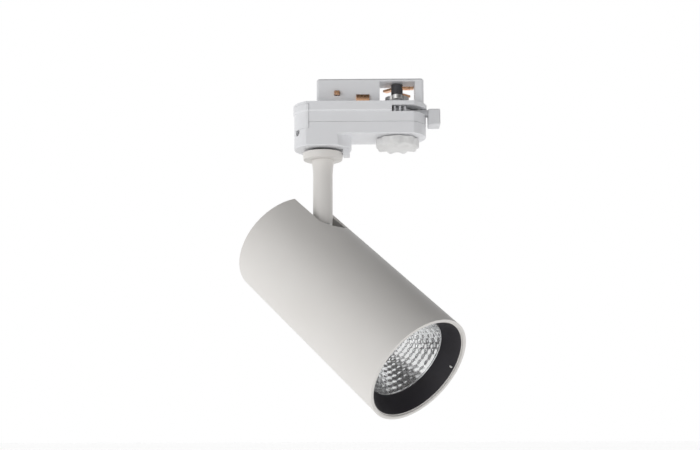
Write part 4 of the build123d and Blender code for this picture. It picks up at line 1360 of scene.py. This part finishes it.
class SPOTLIGHT_OT_finishes(bpy.types.Operator):
    """Make the finishes and give them to the CAD nodes"""

    bl_idname = "spotlight.finishes"
    bl_label = "Finishes"

    def execute(self, context):
        FINISHES.update(finishes(context.scene.spotlight_finish))
        finish_carried_nodes()
        return {"FINISHED"}


class SPOTLIGHT_OT_housing(bpy.types.Operator):
    """Build the lamp's tube"""

    bl_idname = "spotlight.housing"
    bl_label = "Housing tube"

    def execute(self, context):
        build_housing(context.scene.spotlight_housing)
        return {"FINISHED"}


class SPOTLIGHT_OT_optics(bpy.types.Operator):
    """Build the trim ring, the baffle with its clips, and the faceted reflector"""

    bl_idname = "spotlight.optics"
    bl_label = "Optics"

    def execute(self, context):
        build_trim_ring()
        build_baffle(context.scene.spotlight_optics)
        build_reflector(context.scene.spotlight_optics)
        return {"FINISHED"}


class SPOTLIGHT_OT_stem(bpy.types.Operator):
    """Build the collar and the stem"""

    bl_idname = "spotlight.stem"
    bl_label = "Stem and collar"

    def execute(self, context):
        build_stem(context.scene.spotlight_stem)
        return {"FINISHED"}


class SPOTLIGHT_OT_adapter(bpy.types.Operator):
    """Build the adapter's shells"""

    bl_idname = "spotlight.adapter"
    bl_label = "Adapter shells"

    def execute(self, context):
        build_adapter(context.scene.spotlight_adapter)
        return {"FINISHED"}


class SPOTLIGHT_OT_controls(bpy.types.Operator):
    """Build the locking lever, its cam and the selector knob"""

    bl_idname = "spotlight.controls"
    bl_label = "Lever and knob"

    def execute(self, context):
        build_lever()
        build_knob(context.scene.spotlight_adapter)
        return {"FINISHED"}


class SPOTLIGHT_OT_fasteners(bpy.types.Operator):
    """Build the screws"""

    bl_idname = "spotlight.fasteners"
    bl_label = "Screws"

    def execute(self, context):
        build_fasteners()
        return {"FINISHED"}


class SPOTLIGHT_OT_heat_sink(bpy.types.Operator):
    """Build the heat sink and its fins"""

    bl_idname = "spotlight.heat_sink"
    bl_label = "Heat sink"

    def execute(self, context):
        build_heat_sink()
        return {"FINISHED"}


class SPOTLIGHT_OT_working_parts(bpy.types.Operator):
    """Build the hinge, the contacts, the driver and the other inner pieces"""

    bl_idname = "spotlight.working_parts"
    bl_label = "Working parts"

    def execute(self, context):
        build_working_parts()
        return {"FINISHED"}


class SPOTLIGHT_OT_stage(bpy.types.Operator):
    """Build the camera, the floor and the lights"""

    bl_idname = "spotlight.stage"
    bl_label = "Stage"

    def execute(self, context):
        build_stage(context.scene.spotlight_stage)
        return {"FINISHED"}


class SPOTLIGHT_PT_panel(bpy.types.Panel):
    """Lists the spotlight's sizes, colours and pieces"""

    bl_label = "Track Spotlight"
    bl_idname = "SPOTLIGHT_PT_panel"
    bl_space_type = "VIEW_3D"
    bl_region_type = "UI"
    bl_category = "Spotlight"

    def draw(self, context):
        layout = self.layout
        for name in SETTINGS:
            group = getattr(context.scene, name)
            box = layout.box()
            for key in group.__annotations__:
                box.prop(group, key)
        for operator in OPERATORS:
            layout.operator(operator.bl_idname)


SETTINGS = {
    "spotlight_finish": FinishSettings,
    "spotlight_housing": HousingSettings,
    "spotlight_optics": OpticsSettings,
    "spotlight_adapter": AdapterSettings,
    "spotlight_stem": StemSettings,
    "spotlight_stage": StageSettings,
}
OPERATORS = (
    SPOTLIGHT_OT_finishes,
    SPOTLIGHT_OT_stage,
    SPOTLIGHT_OT_housing,
    SPOTLIGHT_OT_optics,
    SPOTLIGHT_OT_stem,
    SPOTLIGHT_OT_adapter,
    SPOTLIGHT_OT_controls,
    SPOTLIGHT_OT_fasteners,
    SPOTLIGHT_OT_heat_sink,
    SPOTLIGHT_OT_working_parts,
)


def register():
    for name, group in SETTINGS.items():
        bpy.utils.register_class(group)
        setattr(bpy.types.Scene, name, PointerProperty(type=group))
    for operator in OPERATORS:
        bpy.utils.register_class(operator)
    bpy.utils.register_class(SPOTLIGHT_PT_panel)


def unregister():
    bpy.utils.unregister_class(SPOTLIGHT_PT_panel)
    for operator in reversed(OPERATORS):
        bpy.utils.unregister_class(operator)
    for name, group in reversed(list(SETTINGS.items())):
        delattr(bpy.types.Scene, name)
        bpy.utils.unregister_class(group)


def main():
    """Registers the add-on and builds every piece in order."""
    register()
    bpy.ops.spotlight.finishes()
    bpy.ops.spotlight.stage()
    bpy.ops.spotlight.housing()
    bpy.ops.spotlight.optics()
    bpy.ops.spotlight.stem()
    bpy.ops.spotlight.adapter()
    bpy.ops.spotlight.controls()
    bpy.ops.spotlight.fasteners()
    bpy.ops.spotlight.heat_sink()
    bpy.ops.spotlight.working_parts()


if __name__ == "__main__":
    main()
